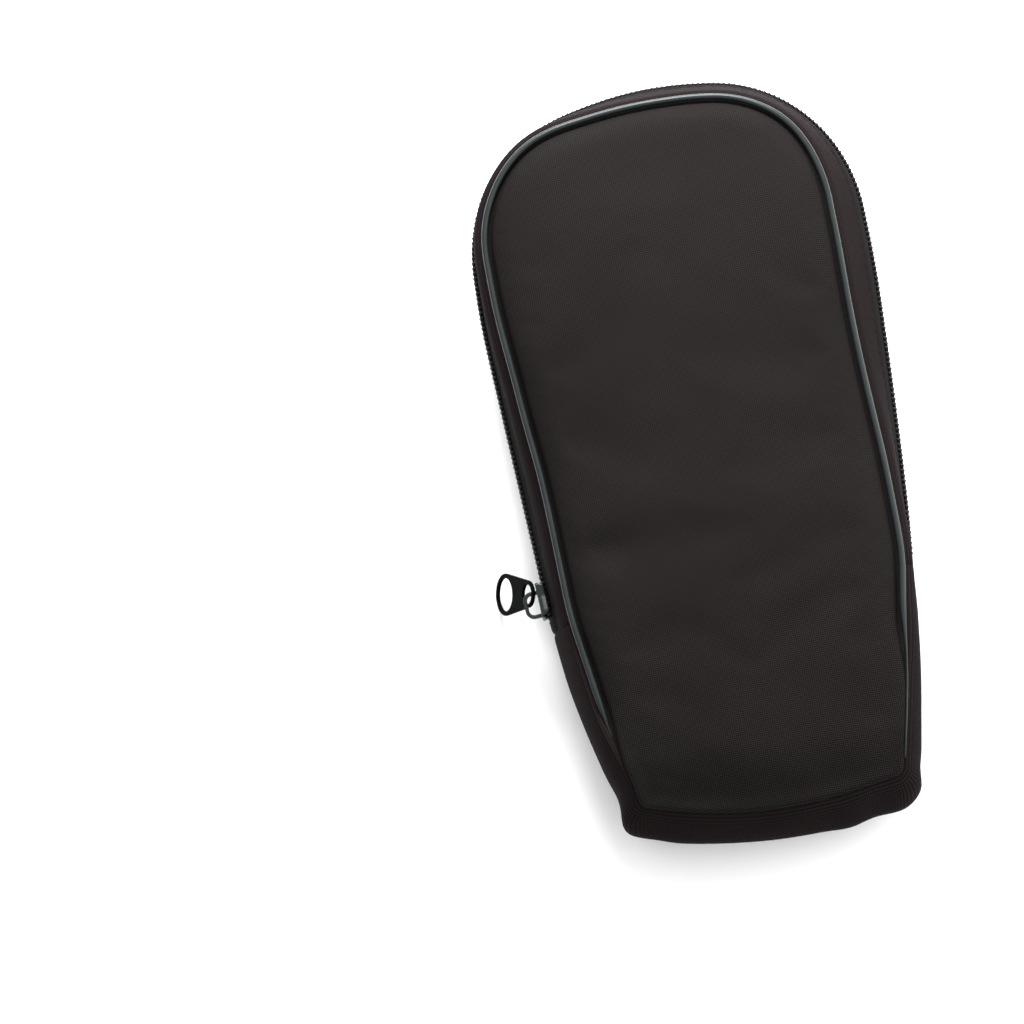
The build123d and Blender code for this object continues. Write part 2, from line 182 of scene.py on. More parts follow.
ZIP_RIGHT = run_at_height(HIP_HEIGHT)
ZIP_LEFT = ROUND - ZIP_RIGHT
print("zip runs from", round(ZIP_RIGHT, 4), "to", round(ZIP_LEFT, 4))

# %% [markdown]
# ## How the stuffed case sits
#
# A sewn case is never quite true. Its front has slipped a little round against its back, and cloth
# between two seams ripples. One function moves every soft point by its place alone, so that pieces
# which are sewn together stay together. The zip stays still, because the metal slider runs on it.

# %% Tables of the soft posture
# How far the front layer has slipped to the right, and how far its sides are drawn in, in
# millimetres, at heights along Y. It acts only above the middle of the walls.
LAYER_AT = (-104, -90, -67, -50, -35, -25, -12, 0, 15, 30, 45, 60, 75, 84, 90, 100)
SLIP = (
    -0.2, -0.1, 0.5, 1.2, 1.07, 0.6, 0.12, -0.4,
    -1.78, -2.02, -2.52, -2.75, -2.75, -1.95, -0.9, -0.6,
)
DRAWN_IN = (
    -1.3, -1.38, -1.5, -1.25, -1.23, -0.71, 0.05, 0.8,
    1.2, 1.52, 1.55, 1.17, 1.2, 1.02, 0.75, 0.55,
)
DRAWN_IN_HALF_WIDTH = 45
SLIP_LEVELS = (23 * MM, 34 * MM)
# How far the empty top of the front layer has sunk towards the foot, and how far its lower edge
# is drawn up, across the case.
TOP_SINK_AT = (-33, -22, -14, 0, 15, 25, 35, 45)
TOP_SINK = (-0.6, 1.5, 2.3, 2.6, 2.5, 2.2, 2.0, 1.0)
TOP_SINK_RUN = (68, 94)
FOOT_RISE_AT = (-40, -10, 10, 30, 40)
FOOT_RISE = (1.4, 0.2, 0.2, 1.5, 1.9)
FOOT_RISE_RUN = (70, 98)
# How far each side of the whole case stands out to the right, at heights along Y.
SIDE_AT = (-80, -70, -60, -52, -36, -28, -10, 10, 40, 52, 60, 78, 90)
LEFT_BY = (-0.4, -0.9, -0.9, -0.9, 0.0, 0.0, 0.0, 0.0, 0.0, 0.0, 1.2, 1.2, 0.3)
RIGHT_BY = (0.2, 0.2, 0.1, -0.8, -0.8, 0.0, 0.6, 1.0, 1.2, 0.9, 0.1, 0.0, 0.4)
SIDE_RUN = (0, 40)
# How far the two ends of the whole case lie up or down along Y, across the case.
END_AT = (-45, -25, 0, 20, 32, 45)
TOP_UP = (-0.4, -0.2, 1.25, 1.4, 1.25, 0.5)
FOOT_UP = (4.6, 3.2, 1.4, 0.6, 0.2, -0.6)
TOP_END_RUN = (55, 95)
FOOT_END_RUN = (50, 98)
# Small tucks: place in plan, reach, and how far the cloth moves there, in millimetres.
TUCKS = [
    (-38.0, -96.2, 2.8, (-1.0, -0.95)),
    (-39.8, -88.6, 5.0, (0.9, 0.0)),
    (-32.0, -99.5, 4.0, (0.0, 0.9)),
    (41.0, -91.6, 2.4, (-0.8, 0.0)),
    (40.5, -96.5, 3.0, (0.4, -0.2)),
    (18.5, -103.0, 4.0, (0.0, -0.6)),
    (26.0, -101.5, 4.0, (0.0, 0.6)),
]
# How far the front layer rolls down into the foot, how far below the middle of the case this
# sets in and ends, and between which heights it grows, in millimetres.
FOOT_ROLL = 5.0
FOOT_ROLL_RUN = (80, 106)
FOOT_ROLL_LEVELS = (14, 33)
# Ripples all over, except within the first distance from the middle of the walls, where the zip is.
RIPPLE = 0.45 * MM
RIPPLE_SIZE = 26 * MM
RIPPLE_SHIFT = (7.31, 3.17, 1.73)
ZIP_STILL = (5 * MM, 11 * MM)
print("tucks", len(TUCKS))

# %% A function for the soft posture
def smooth(value, low, high):
    """0 below low, 1 above high, and an even curve between them."""
    t = np.clip((value - low) / (high - low), 0, 1)
    return t * t * (3 - 2 * t)


# Tables are read at every millimetre and rounded with a bell curve this wide and this far out.
BELL_WIDTH, BELL_REACH = 6.0, 18
FINE = np.arange(-130.0, 131.0)
SPREAD = np.exp(-0.5 * (np.arange(-BELL_REACH, BELL_REACH + 1) / BELL_WIDTH) ** 2)


def table(places, at, values):
    """Read a table of millimetres at some places, with its corners rounded off."""
    curve = np.pad(np.interp(FINE, at, values), BELL_REACH, mode="edge")
    return np.interp(places, FINE, np.convolve(curve, SPREAD / SPREAD.sum(), mode="valid"))


def ripples(points, size, seed):
    """A smooth random number between -1 and 1 for each point; size is the length of one ripple."""
    shift = Vector([seed * by for by in RIPPLE_SHIFT])
    return np.array([noise.noise(Vector(p) / size + shift) for p in points])


def posture(points):
    """Move soft points to where the stuffed and slightly twisted case holds them."""
    points = np.array(points, float)
    x, y, z = points.T / MM
    front = smooth(points[:, 2], *SLIP_LEVELS)
    across = table(y, LAYER_AT, SLIP)
    across -= table(y, LAYER_AT, DRAWN_IN) * np.clip(x / DRAWN_IN_HALF_WIDTH, -1, 1)
    along = table(x, FOOT_RISE_AT, FOOT_RISE) * smooth(-y, *FOOT_RISE_RUN)
    along -= table(x, TOP_SINK_AT, TOP_SINK) * smooth(y, *TOP_SINK_RUN)
    left = table(y, SIDE_AT, LEFT_BY) * smooth(-x, *SIDE_RUN)
    right = table(y, SIDE_AT, RIGHT_BY) * smooth(x, *SIDE_RUN)
    ends = table(x, END_AT, TOP_UP) * smooth(y, *TOP_END_RUN)
    ends += table(x, END_AT, FOOT_UP) * smooth(-y, *FOOT_END_RUN)
    off_zip = smooth(np.abs(points[:, 2] - MIDDLE), *ZIP_STILL)
    for axis, seed in ((0, 1), (1, 2)):
        points[:, axis] += RIPPLE * off_zip * ripples(points, RIPPLE_SIZE, seed)
    points[:, 0] += (across * front + left + right) * MM
    points[:, 1] += (along * front + ends) * MM
    points[:, 2] -= FOOT_ROLL * MM * smooth(-y, *FOOT_ROLL_RUN) * smooth(z, *FOOT_ROLL_LEVELS)
    for tuck_x, tuck_y, reach, (by_x, by_y) in TUCKS:
        share = np.exp(-((x - tuck_x) ** 2 + (y - tuck_y) ** 2) / reach**2)
        points[:, 0] += by_x * MM * share
        points[:, 1] += by_y * MM * share
    return points


# %% [markdown]
# ## Helpers that make meshes
#
# Most soft pieces are a profile carried along the outline. A plain grid of four-sided faces is
# enough, because a subdivision modifier rounds it. The grid also gets a UV map in metres, with U
# along the seam and V across the strip, so that a weave follows the cloth round the corners.

# %% Carry a profile along the outline
SAME_PLACE = 1e-6
STATION_STEP = 2.5 * MM


def new_piece(name, points, faces, uvs=None):
    """A mesh object at the origin, with its UV map in metres if one is given."""
    mesh = bpy.data.meshes.new(name)
    mesh.from_pydata([tuple(p) for p in points], [], faces)
    if uvs is not None:
        layer = mesh.uv_layers.new(name="cloth")
        layer.data.foreach_set("uv", np.array(uvs, np.float32).ravel())
    piece = bpy.data.objects.new(name, mesh)
    scene.collection.objects.link(piece)
    mesh.polygons.foreach_set("use_smooth", [True] * len(mesh.polygons))
    return piece


def face_outwards(piece):
    """Merge doubles and turn every face outwards."""
    work = bmesh.new()
    work.from_mesh(piece.data)
    bmesh.ops.remove_doubles(work, verts=work.verts, dist=SAME_PLACE)
    bmesh.ops.recalc_face_normals(work, faces=work.faces)
    work.to_mesh(piece.data)
    work.free()
    return piece


def band_faces(rows, wide):
    """Four-sided faces between neighbouring closed rings of wide points each."""
    faces = []
    for i in range(rows - 1):
        for j in range(wide):
            k = (j + 1) % wide
            faces.append(tuple(row * wide + n for row, n in ((i, j), (i, k), (i + 1, k), (i + 1, j))))
    return faces


def end_faces(rows, wide):
    """One face across the first closed ring and one across the last."""
    return [tuple(row * wide + j for j in range(wide)) for row in (0, rows - 1)]


def grid(name, rings, caps=True):
    """A quad mesh through closed rings, an array of stations by profile points by three."""
    stations, across = rings.shape[:2]
    u, v = path_lengths(rings[:, 0]), path_lengths(rings[0])
    v = np.append(v, 2 * v[-1] - v[-2])
    faces, uvs = band_faces(stations, across), []
    for i in range(stations - 1):
        for j in range(across):
            uvs += [(u[i], v[j]), (u[i], v[j + 1]), (u[i + 1], v[j + 1]), (u[i + 1], v[j])]
    if caps:
        faces += end_faces(stations, across)
        uvs += [(u[i], v[j]) for i in (0, stations - 1) for j in range(across)]
    return face_outwards(new_piece(name, rings.reshape(-1, 3), faces, uvs))


def strip(name, profile, start, stop, station_step=STATION_STEP, caps=True, shape=None):
    """A closed profile of (inset, height) pairs in millimetres, carried along the outline."""
    count = max(8, int((stop - start) / station_step))
    runs = np.linspace(start, stop, count)
    rings = np.zeros((count, len(profile), 3))
    for j, (inset, height) in enumerate(profile):
        rings[:, j, :2], _ = outline_at(runs, inset * MM)
        rings[:, j, 2] = height * MM
    if shape:
        rings = shape(rings, runs)
    rings = posture(rings.reshape(-1, 3)).reshape(rings.shape)
    return grid(name, rings, caps)


# %% Soften a piece and say what carries it
SUBDIVISIONS = 1


def soften(piece):
    """A subdivision modifier, the same in the viewport and the render."""
    modifier = piece.modifiers.new("soft", "SUBSURF")
    modifier.levels = SUBDIVISIONS
    modifier.render_levels = SUBDIVISIONS
    return piece


def cover(piece, material):
    """Give a piece its one material and a soft surface."""
    piece.data.materials.append(material)
    return soften(piece)


def bend_at_fold(piece, nodes):
    """Put a piece in place of plain nodes of the frame: bake its place into its points and hide those
    nodes.
    """
    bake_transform(piece)
    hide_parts(*nodes)
    return piece


def stay(piece, body, nodes):
    """Let a piece ride on one body, in place of plain nodes of the frame."""
    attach(piece, body)
    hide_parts(*nodes)
    return piece


# %% [markdown]
# ## Cloth
#
# The faces are plain-woven nylon: warp and weft threads pass over and under each other. A node
# group works out the height of such a weave from a position and a thread pitch. Where a thread is
# on top it is high, and where four threads meet there is a small dark hole. The same height drives
# the bump, the colour and the roughness, because on real cloth all three come from the threads.

# %% A node group for plain weave
def fill_inputs(tree, node, inputs):
    """Set inputs of a node to values, or link them where a socket is given."""
    for key, value in inputs.items():
        if isinstance(value, bpy.types.NodeSocket):
            tree.links.new(value, node.inputs[key])
        else:
            node.inputs[key].default_value = value


def add_node(tree, kind, inputs=None, **settings):
    """A new node with its settings and inputs."""
    node = tree.nodes.new(kind)
    for key, value in settings.items():
        setattr(node, key, value)
    fill_inputs(tree, node, inputs or {})
    return node


def maths(tree, operation, *values):
    """The result of a math node on sockets or numbers."""
    node = add_node(tree, "ShaderNodeMath", dict(enumerate(values)), operation=operation)
    return node.outputs[0]


def new_tree(name, kind, sockets, outcome, outcome_kind):
    """A node group with named inputs and one output, and the nodes that stand for them."""
    tree = bpy.data.node_groups.new(name, kind)
    for label, socket_kind in sockets:
        tree.interface.new_socket(label, in_out="INPUT", socket_type=socket_kind)
    tree.interface.new_socket(outcome, in_out="OUTPUT", socket_type=outcome_kind)
    return tree, tree.nodes.new("NodeGroupInput"), tree.nodes.new("NodeGroupOutput")


def weave_group():
    """Height of a plain weave, from 0 in the holes to 1 on top of a thread."""
    tree, inlet, outlet = new_tree(
        "plain_weave", "ShaderNodeTree", [("Vector", "NodeSocketVector"), ("Pitch", "NodeSocketFloat")],
        "Height", "NodeSocketFloat")
    split = add_node(tree, "ShaderNodeSeparateXYZ", {0: inlet.outputs["Vector"]})
    cells, bows = [], []
    for axis in ("X", "Y"):
        cell = maths(tree, "DIVIDE", split.outputs[axis], inlet.outputs["Pitch"])
        part = maths(tree, "SUBTRACT", maths(tree, "FRACT", cell), 0.5)
        bows.append(maths(tree, "COSINE", maths(tree, "MULTIPLY", part, math.pi)))
        cells.append(maths(tree, "FLOOR", cell))
    odd = maths(tree, "ABSOLUTE", maths(tree, "MODULO", maths(tree, "ADD", *cells), 2.0))
    warp = maths(tree, "MULTIPLY", bows[0], maths(tree, "MULTIPLY_ADD", bows[1], 0.5, 0.5))
    weft = maths(tree, "MULTIPLY", bows[1], maths(tree, "MULTIPLY_ADD", bows[0], 0.5, 0.5))
    on_top = add_node(tree, "ShaderNodeMix", {"Factor": odd, "A": warp, "B": weft})
    fill_inputs(tree, outlet, {"Height": on_top.outputs["Result"]})
    return tree


WEAVE = weave_group()
print("weave group nodes", len(WEAVE.nodes))

# %% [markdown]
# ## What every finish needs
#
# A finish is a few textures that lead into one shader. These short helpers make the textures, so
# that each finish below reads as a recipe: where the pattern lies, how large its features are, and
# which part of the shader it drives. A noise's scale counts features to the metre.

# %% Helpers for finishes
def new_material(name):
    """An empty principled material, its tree and its shader."""
    material = bpy.data.materials.new(name)
    material.use_nodes = True
    tree = material.node_tree
    return material, tree, tree.nodes["Principled BSDF"]


def colour_ramp(tree, factor, low, high, low_at=0.0, high_at=1.0):
    """A ramp between two colours."""
    ramp = tree.nodes.new("ShaderNodeValToRGB")
    for end, place, colour in zip(ramp.color_ramp.elements, (low_at, high_at), (low, high)):
        end.position = place
        end.color = (*colour, 1)
    tree.links.new(factor, ramp.inputs[0])
    return ramp.outputs[0]


def speckle(tree, place, scale, detail, roughness=0.5):
    """A noise texture, its scale in features to the metre."""
    return add_node(tree, "ShaderNodeTexNoise", {
        "Vector": place, "Scale": scale, "Detail": detail, "Roughness": roughness})


def between(tree, value, lowest, highest, start=0.0, stop=1.0):
    """A value that goes from lowest to highest while another goes from start to stop."""
    mapped = add_node(tree, "ShaderNodeMapRange", {
        "Value": value, "From Min": start, "From Max": stop, "To Min": lowest, "To Max": highest})
    return mapped.outputs[0]


def in_relief(tree, height, strength, relief):
    """The normal of a surface with a pattern in relief, its depth in metres."""
    bump = add_node(tree, "ShaderNodeBump", {"Height": height, "Strength": strength, "Distance": relief})
    return bump.outputs[0]


# %% [markdown]
# ## Woven nylon
#
# Real cloth is never even. The threads wander a little, the dye takes up in patches, and the weave
# shows plainly in some places and hardly in others. The recipe adds each of these to the weave,
# then lets the weave drive the colour, the relief and the roughness together.

# %% The recipe for woven nylon
WANDER_SCALE, WANDER_DETAIL, WANDER_SHARE = 160, 2, 0.25
DYE_SCALE, DYE_DETAIL, DYE_ROUGHNESS, DYE_SHARE = 22, 5, 0.6, 0.3
PATCH_SCALE, PATCH_DETAIL, PATCH_FROM, PATCH_TO = 26, 1, 0.35, 0.65
FIBRE_SCALE, FIBRE_DETAIL, FIBRE_SHARE = 2600, 1, 0.2
FOOT_CLEAR_FROM, FOOT_CLEAR_TO = -32 * MM, -72 * MM
THREAD_CONTRAST, THREAD_TONE = 0.85, 0.425
CLOTH_DARK_AT, CLOTH_LIGHT_AT = 0.3, 1.0
WEAVE_RELIEF_STRENGTH = 0.8


def woven_material(name, dark, light, pitch, turn=0.0, stretch=(1, 1, 1), coordinate="Object",
                   relief=0.10 * MM, rough=(0.62, 0.8), gloss=0.18, sheen=0.06,
                   clear=(0.3, 1.1), foot_clear=0.0):
    """Woven nylon: threads in relief, uneven dye, and a dull shine on top of the threads.

    clear says how plainly the threads show in faint and in plain patches; foot_clear adds to that
    towards the foot.
    """
    material, tree, shader = new_material(name)
    source = tree.nodes.new("ShaderNodeTexCoord")
    here = source.outputs["Object"]
    mapping = add_node(tree, "ShaderNodeMapping", {
        "Vector": source.outputs[coordinate], "Rotation": (0, 0, turn), "Scale": stretch})
    laid = mapping.outputs[0]

    wander = speckle(tree, laid, WANDER_SCALE, WANDER_DETAIL)
    wandering = add_node(tree, "ShaderNodeVectorMath", {
        0: wander.outputs["Color"], 1: (WANDER_SHARE * pitch,) * 3, 2: laid}, operation="MULTIPLY_ADD")
    weave = add_node(tree, "ShaderNodeGroup", node_tree=WEAVE)
    fill_inputs(tree, weave, {"Pitch": pitch, "Vector": wandering.outputs[0]})
    weave_height = weave.outputs["Height"]

    dye = speckle(tree, here, DYE_SCALE, DYE_DETAIL, DYE_ROUGHNESS).outputs["Fac"]
    patches = speckle(tree, here, PATCH_SCALE, PATCH_DETAIL).outputs["Fac"]
    plain = between(tree, patches, *clear, PATCH_FROM, PATCH_TO)
    place = add_node(tree, "ShaderNodeSeparateXYZ", {0: here})
    near_foot = between(tree, place.outputs["Y"], 0, foot_clear, FOOT_CLEAR_FROM, FOOT_CLEAR_TO)
    level = maths(tree, "ADD", plain, near_foot)
    threads = maths(tree, "MULTIPLY", maths(tree, "SUBTRACT", weave_height, 0.5), level)
    tone = maths(tree, "MULTIPLY_ADD", threads, THREAD_CONTRAST, THREAD_TONE)
    dyed = maths(tree, "MULTIPLY_ADD", dye, DYE_SHARE, tone)

    fibre = speckle(tree, here, FIBRE_SCALE, FIBRE_DETAIL).outputs["Fac"]
    raised = maths(tree, "MULTIPLY", weave_height, level)
    height = maths(tree, "MULTIPLY_ADD", fibre, FIBRE_SHARE, raised)
    fill_inputs(tree, shader, {
        "Base Color": colour_ramp(tree, dyed, dark, light, CLOTH_DARK_AT, CLOTH_LIGHT_AT),
        "Normal": in_relief(tree, height, WEAVE_RELIEF_STRENGTH, relief),
        "Roughness": between(tree, weave_height, rough[1], rough[0]),
        "Specular IOR Level": gloss,
        "Sheen Weight": sheen,
        "Sheen Roughness": 0.5,
    })
    return material


# %% The cloths of the case
THREAD = 0.55 * MM
face_cloth = woven_material(
    "face_cloth", (0.0026, 0.0021, 0.0021), (0.0138, 0.0114, 0.0113), THREAD,
    relief=0.12 * MM, gloss=0.03, sheen=0.0, clear=(0.22, 0.62), foot_clear=0.45)
wall_cloth = woven_material(
    "wall_cloth", (0.0028, 0.002, 0.0021), (0.0155, 0.0113, 0.0117), THREAD,
    coordinate="UV", stretch=(1, 0.62, 1), gloss=0.01, sheen=0.0)
tape_cloth = woven_material(
    "tape_cloth", (0.004, 0.0038, 0.0038), (0.016, 0.0152, 0.0155), 0.4 * MM,
    coordinate="UV", relief=0.06 * MM, gloss=0.02, sheen=0.0)
binding_cloth = woven_material(
    "binding_cloth", (0.004, 0.004, 0.0042), (0.015, 0.0148, 0.0155), 0.45 * MM,
    coordinate="UV", stretch=(1, 0.4, 1))
lining_cloth = woven_material(
    "lining_cloth", (0.012, 0.012, 0.014), (0.035, 0.034, 0.038), 0.35 * MM,
    turn=math.radians(45), relief=0.04 * MM, sheen=0.15)
elastic_cloth = woven_material(
    "elastic_cloth", (0.003, 0.003, 0.003), (0.018, 0.0175, 0.0175), 0.9 * MM,
    coordinate="UV", stretch=(0.5, 1, 1), relief=0.2 * MM)
cloths = (face_cloth, wall_cloth, tape_cloth, binding_cloth, lining_cloth, elastic_cloth)
print("cloths", [cloth.name for cloth in cloths])

# %% [markdown]
# ## Vinyl, metal, nylon and thread
#
# The seam cord is covered with soft vinyl: dark, green-black, with a broad highlight that a fine
# grain breaks up. The slider is die-cast metal under black enamel, so it has a harder highlight
# and a faint orange-peel; its tab is duller. The coils are solid nylon. The thread is twisted, and
# at its size a very fine grain says that well enough.

# %% The smooth finishes
TONE_SCALE, TONE_DETAIL = 90, 4
TONE_DARK_AT, TONE_LIGHT_AT = 0.3, 0.75
GRAIN_DETAIL, GRAIN_STRENGTH = 3, 0.5


def smooth_material(name, dark, light, rough, gloss, grain, relief, tint=(1, 1, 1)):
    """A dyed or enamelled surface with a fine uneven grain, so many features to the metre."""
    material, tree, shader = new_material(name)
    here = tree.nodes.new("ShaderNodeTexCoord").outputs["Object"]
    tone = speckle(tree, here, TONE_SCALE, TONE_DETAIL).outputs["Fac"]
    fine = speckle(tree, here, grain, GRAIN_DETAIL).outputs["Fac"]
    fill_inputs(tree, shader, {
        "Base Color": colour_ramp(tree, tone, dark, light, TONE_DARK_AT, TONE_LIGHT_AT),
        "Normal": in_relief(tree, fine, GRAIN_STRENGTH, relief),
        "Roughness": between(tree, fine, *rough),
        "Specular IOR Level": gloss,
        "Specular Tint": (*tint, 1),
    })
    return material


cord_vinyl = smooth_material(
    "cord_vinyl", (0.0052, 0.0074, 0.007), (0.009, 0.0125, 0.0118), rough=(0.26, 0.38),
    gloss=0.23, grain=900, relief=0.03 * MM, tint=(0.88, 1, 0.97))
slider_enamel = smooth_material(
    "slider_enamel", (0.0015, 0.002, 0.0019), (0.003, 0.004, 0.0038), rough=(0.22, 0.36),
    gloss=0.3, grain=700, relief=0.02 * MM, tint=(0.86, 1, 0.96))
tab_enamel = smooth_material(
    "tab_enamel", (0.0012, 0.0015, 0.0014), (0.0025, 0.003, 0.0028), rough=(0.3, 0.42),
    gloss=0.004, grain=700, relief=0.02 * MM)
coil_nylon = smooth_material(
    "coil_nylon", (0.005, 0.0048, 0.0048), (0.014, 0.0132, 0.0132), rough=(0.3, 0.45),
    gloss=0.15, grain=2500, relief=0.01 * MM)
black_thread = smooth_material(
    "black_thread", (0.003, 0.0028, 0.0028), (0.009, 0.0083, 0.0084), rough=(0.45, 0.6),
    gloss=0.03, grain=5000, relief=0.03 * MM)
smooth_finishes = (cord_vinyl, slider_enamel, tab_enamel, coil_nylon, black_thread)
print("smooth finishes", [finish.name for finish in smooth_finishes])

# %% [markdown]
# ## The seam below the cord
#
# Beside the foot the cord has sunk away, and the two cloths close over it. One share says how far
# this has gone at a place of the outline: nothing where the cord shows, all of it round the foot.
# The face's edge and the wall's top edge use the same share, so they meet.

# %% How far the seam has closed over its cord
CORD_END_RIGHT = run_at_height(-64 * MM)
CORD_END_LEFT = ROUND - run_at_height(-75 * MM)
CLOSING_RUN = 20 * MM


def closed_share(runs):
    """0 where the seam cord shows, 1 where the cloths have closed over it."""
    runs = np.mod(runs, ROUND)
    beyond = np.maximum(CORD_END_RIGHT - runs, runs - CORD_END_LEFT)
    return smooth(beyond, -CLOSING_RUN / 2, CLOSING_RUN / 2)


print("the front cord shows along", round(CORD_END_LEFT - CORD_END_RIGHT, 4), "m of the outline")

# %% [markdown]
# ## The front face
#
# The front is one piece of cloth over soft wadding, sewn down all round beside the cord. Its edge
# is drawn as rings that follow the outline exactly. Inside them an even net of triangles is laid
# by a constrained Delaunay fill, because cloth on an even net folds in any direction, where a net
# of squares would fold along its rows.

# %% Lay an even net inside a loop
# A net reaches this far up and down from the middle, and keeps this share of a triangle clear of
# the loop. Nothing on the case is as far away as FAR. LEVEL_EDGE stands for no rise at all.
NET_REACH = 120 * MM
NET_MARGIN = 0.6
NET_WELD = 1e-7
FAR = 1.0
LEVEL_EDGE = 1e-12


def distance_to_loop(places, loop):
    """Distance from each place to the nearest edge of a closed loop."""
    first, second = loop, np.roll(loop, -1, axis=0)
    run = second - first
    best = np.full(len(places), FAR)
    for a, ab in zip(first, run):
        t = np.clip(((places - a) @ ab) / (ab @ ab), 0, 1)
        best = np.minimum(best, np.linalg.norm(places - a - t[:, None] * ab, axis=1))
    return best


def inside_loop(places, loop):
    """Whether each place is inside a closed loop, by counting crossings."""
    inside = np.zeros(len(places), bool)
    for (x1, y1), (x2, y2) in zip(loop, np.roll(loop, -1, axis=0)):
        crosses = (y1 > places[:, 1]) != (y2 > places[:, 1])
        at = x1 + (places[:, 1] - y1) * (x2 - x1) / (y2 - y1 if y2 != y1 else LEVEL_EDGE)
        inside ^= crosses & (places[:, 0] < at)
    return inside


def even_net(loop, size):
    """Triangles of an even size inside a loop: places, with the loop's own first, and faces."""
    rows = np.arange(-NET_REACH, NET_REACH, size * math.sqrt(3) / 2)
    columns = np.arange(-NET_REACH / 2, NET_REACH / 2, size)
    places = np.array([(x + (i % 2) * size / 2, y) for i, y in enumerate(rows) for x in columns])
    places = places[inside_loop(places, loop)]
    places = places[distance_to_loop(places, loop) > NET_MARGIN * size]
    places = np.vstack([loop, places])
    edge = [(i, (i + 1) % len(loop)) for i in range(len(loop))]
    filled = geometry.delaunay_2d_cdt([Vector(p) for p in places], edge, [], 1, NET_WELD)
    assert len(filled[0]) == len(places)
    return places, [tuple(face) for face in filled[2]]


def on_net(places, loop, at, heights):
    """Places of a net with a height that follows their distance from its loop, in millimetres."""
    away = distance_to_loop(places, loop) / MM
    return np.column_stack([places, np.interp(away, at, heights) * MM])


# %% Draw the front face
FACE_STATIONS = 264
FACE_NET = 2.3 * MM
# The edge as (inset, height) pairs, then the heights of the outer and the inner side by their
# distance from the edge, in millimetres.
FACE_EDGE = [
    (8.8, 34.5), (7.4, 34.45), (6.45, 34.55), (6.5, 34.9), (7.2, 35.0), (7.7, 35.3), (7.95, 35.9),
    (8.15, 36.5), (8.45, 37.1), (8.8, 37.5),
]
CROWN_AT = (0, 1.2, 2.8, 5.2, 9.0, 16.0)
CROWN_HEIGHT = (37.5, 38.3, 39.0, 39.55, 39.85, 40.0)
INNER_AT = (0, 1.5, 5.0)
INNER_HEIGHT = (34.5, 35.6, 36.4)
FACE_CLOSING = 1.9


def face_edge_rings():
    """Rings of the face's edge, from the turned-in cloth below to the start of its crown."""
    runs = np.linspace(0, ROUND, FACE_STATIONS, endpoint=False)
    closing = FACE_CLOSING * closed_share(runs)
    rings = []
    for inset, height in FACE_EDGE:
        place, _ = outline_at(runs, (inset - closing) * MM)
        rings.append(np.column_stack([place, np.full(FACE_STATIONS, height * MM)]))
    return np.array(rings)


def face_mesh(name):
    """The padded face as a closed form: a crowned outer side, a turned edge and an inner side."""
    rings = face_edge_rings()
    count, around = rings.shape[:2]
    points = rings.reshape(-1, 3)
    faces = band_faces(count, around)
    loop = rings[-1][:, :2]
    places, net = even_net(loop, FACE_NET)
    crown = on_net(places[around:], loop, CROWN_AT, CROWN_HEIGHT)
    inner = on_net(places[around:], loop, INNER_AT, INNER_HEIGHT)
    top_start, inner_start = (count - 1) * around, len(points) + len(crown)
    for face in net:
        faces.append(tuple(top_start + i if i < around else len(points) + i - around for i in face))
        faces.append(tuple(i if i < around else inner_start + i - around for i in face[::-1]))
    return face_outwards(new_piece(name, np.vstack([points, crown, inner]), faces))


front_face = face_mesh("front_face")
print("front face", len(front_face.data.polygons), "faces")

# %% [markdown]
# ## Let the cloth settle
#
# Blender's cloth runs for twenty frames on the face itself. The turned edge is pinned, because it
# is sewn. A light pressure stands for the wadding, and the cloth is let out by a little, so that
# it has something to wave with. No point may move further than a cap, which keeps the pad inside
# its place. The result is read back and the modifier removed, so nothing is left running.

# %% Run the cloth once and keep its result
SETTLE_FRAMES = 20
PINNED_BELOW = 37.2 * MM
FREE_ABOVE = PINNED_BELOW + 1.6 * MM
HARDLY_MOVED = 1e-9
STIFF_NYLON = {
    "quality": 6, "mass": 0.25, "tension_stiffness": 12, "compression_stiffness": 12,
    "shear_stiffness": 6, "bending_stiffness": 6, "air_damping": 2,
}


def settle(piece, ease, pressure, cap):
    """Run cloth on a pad, hold every point within cap of its start, and write the result back."""
    start = np.array([v.co for v in piece.data.vertices])
    pins = piece.vertex_groups.new(name="sewn")
    free = smooth(start[:, 2], PINNED_BELOW, FREE_ABOVE)
    for index, share in enumerate(free):
        pins.add([index], 1 - float(share), "REPLACE")
    modifier = piece.modifiers.new("cloth", "CLOTH")
    cloth = modifier.settings
    for setting, value in STIFF_NYLON.items():
        setattr(cloth, setting, value)
    cloth.use_pressure = True
    cloth.uniform_pressure_force = pressure
    cloth.shrink_min = -ease
    cloth.vertex_group_mass = "sewn"
    cloth.effector_weights.gravity = 0
    modifier.collision_settings.use_collision = False
    for number in range(1, SETTLE_FRAMES + 1):
        scene.frame_set(number)
    settled = piece.evaluated_get(bpy.context.evaluated_depsgraph_get())
    moved = np.array([v.co for v in settled.data.vertices]) - start
    size = np.linalg.norm(moved, axis=1)
    moved *= np.minimum(1, cap / np.maximum(size, HARDLY_MOVED))[:, None]
    piece.modifiers.remove(modifier)
    piece.vertex_groups.remove(pins)
    piece.data.vertices.foreach_set("co", (start + moved).ravel())
    scene.frame_set(1)
    print(piece.name, "moved up to", round(size.max() / MM, 2), "mm, mean", round(size.mean() / MM, 2))


settle(front_face, ease=0.0016, pressure=0.6, cap=1.1 * MM)

# %% [markdown]
# ## Slow dents
#
# The wadding is not even, and it thins towards the foot. These dents and swellings are a few
# fingers wide and about a millimetre deep, but they are what makes the light move over the face.
# Each is a place on the case, its width and length, and how far it presses in.

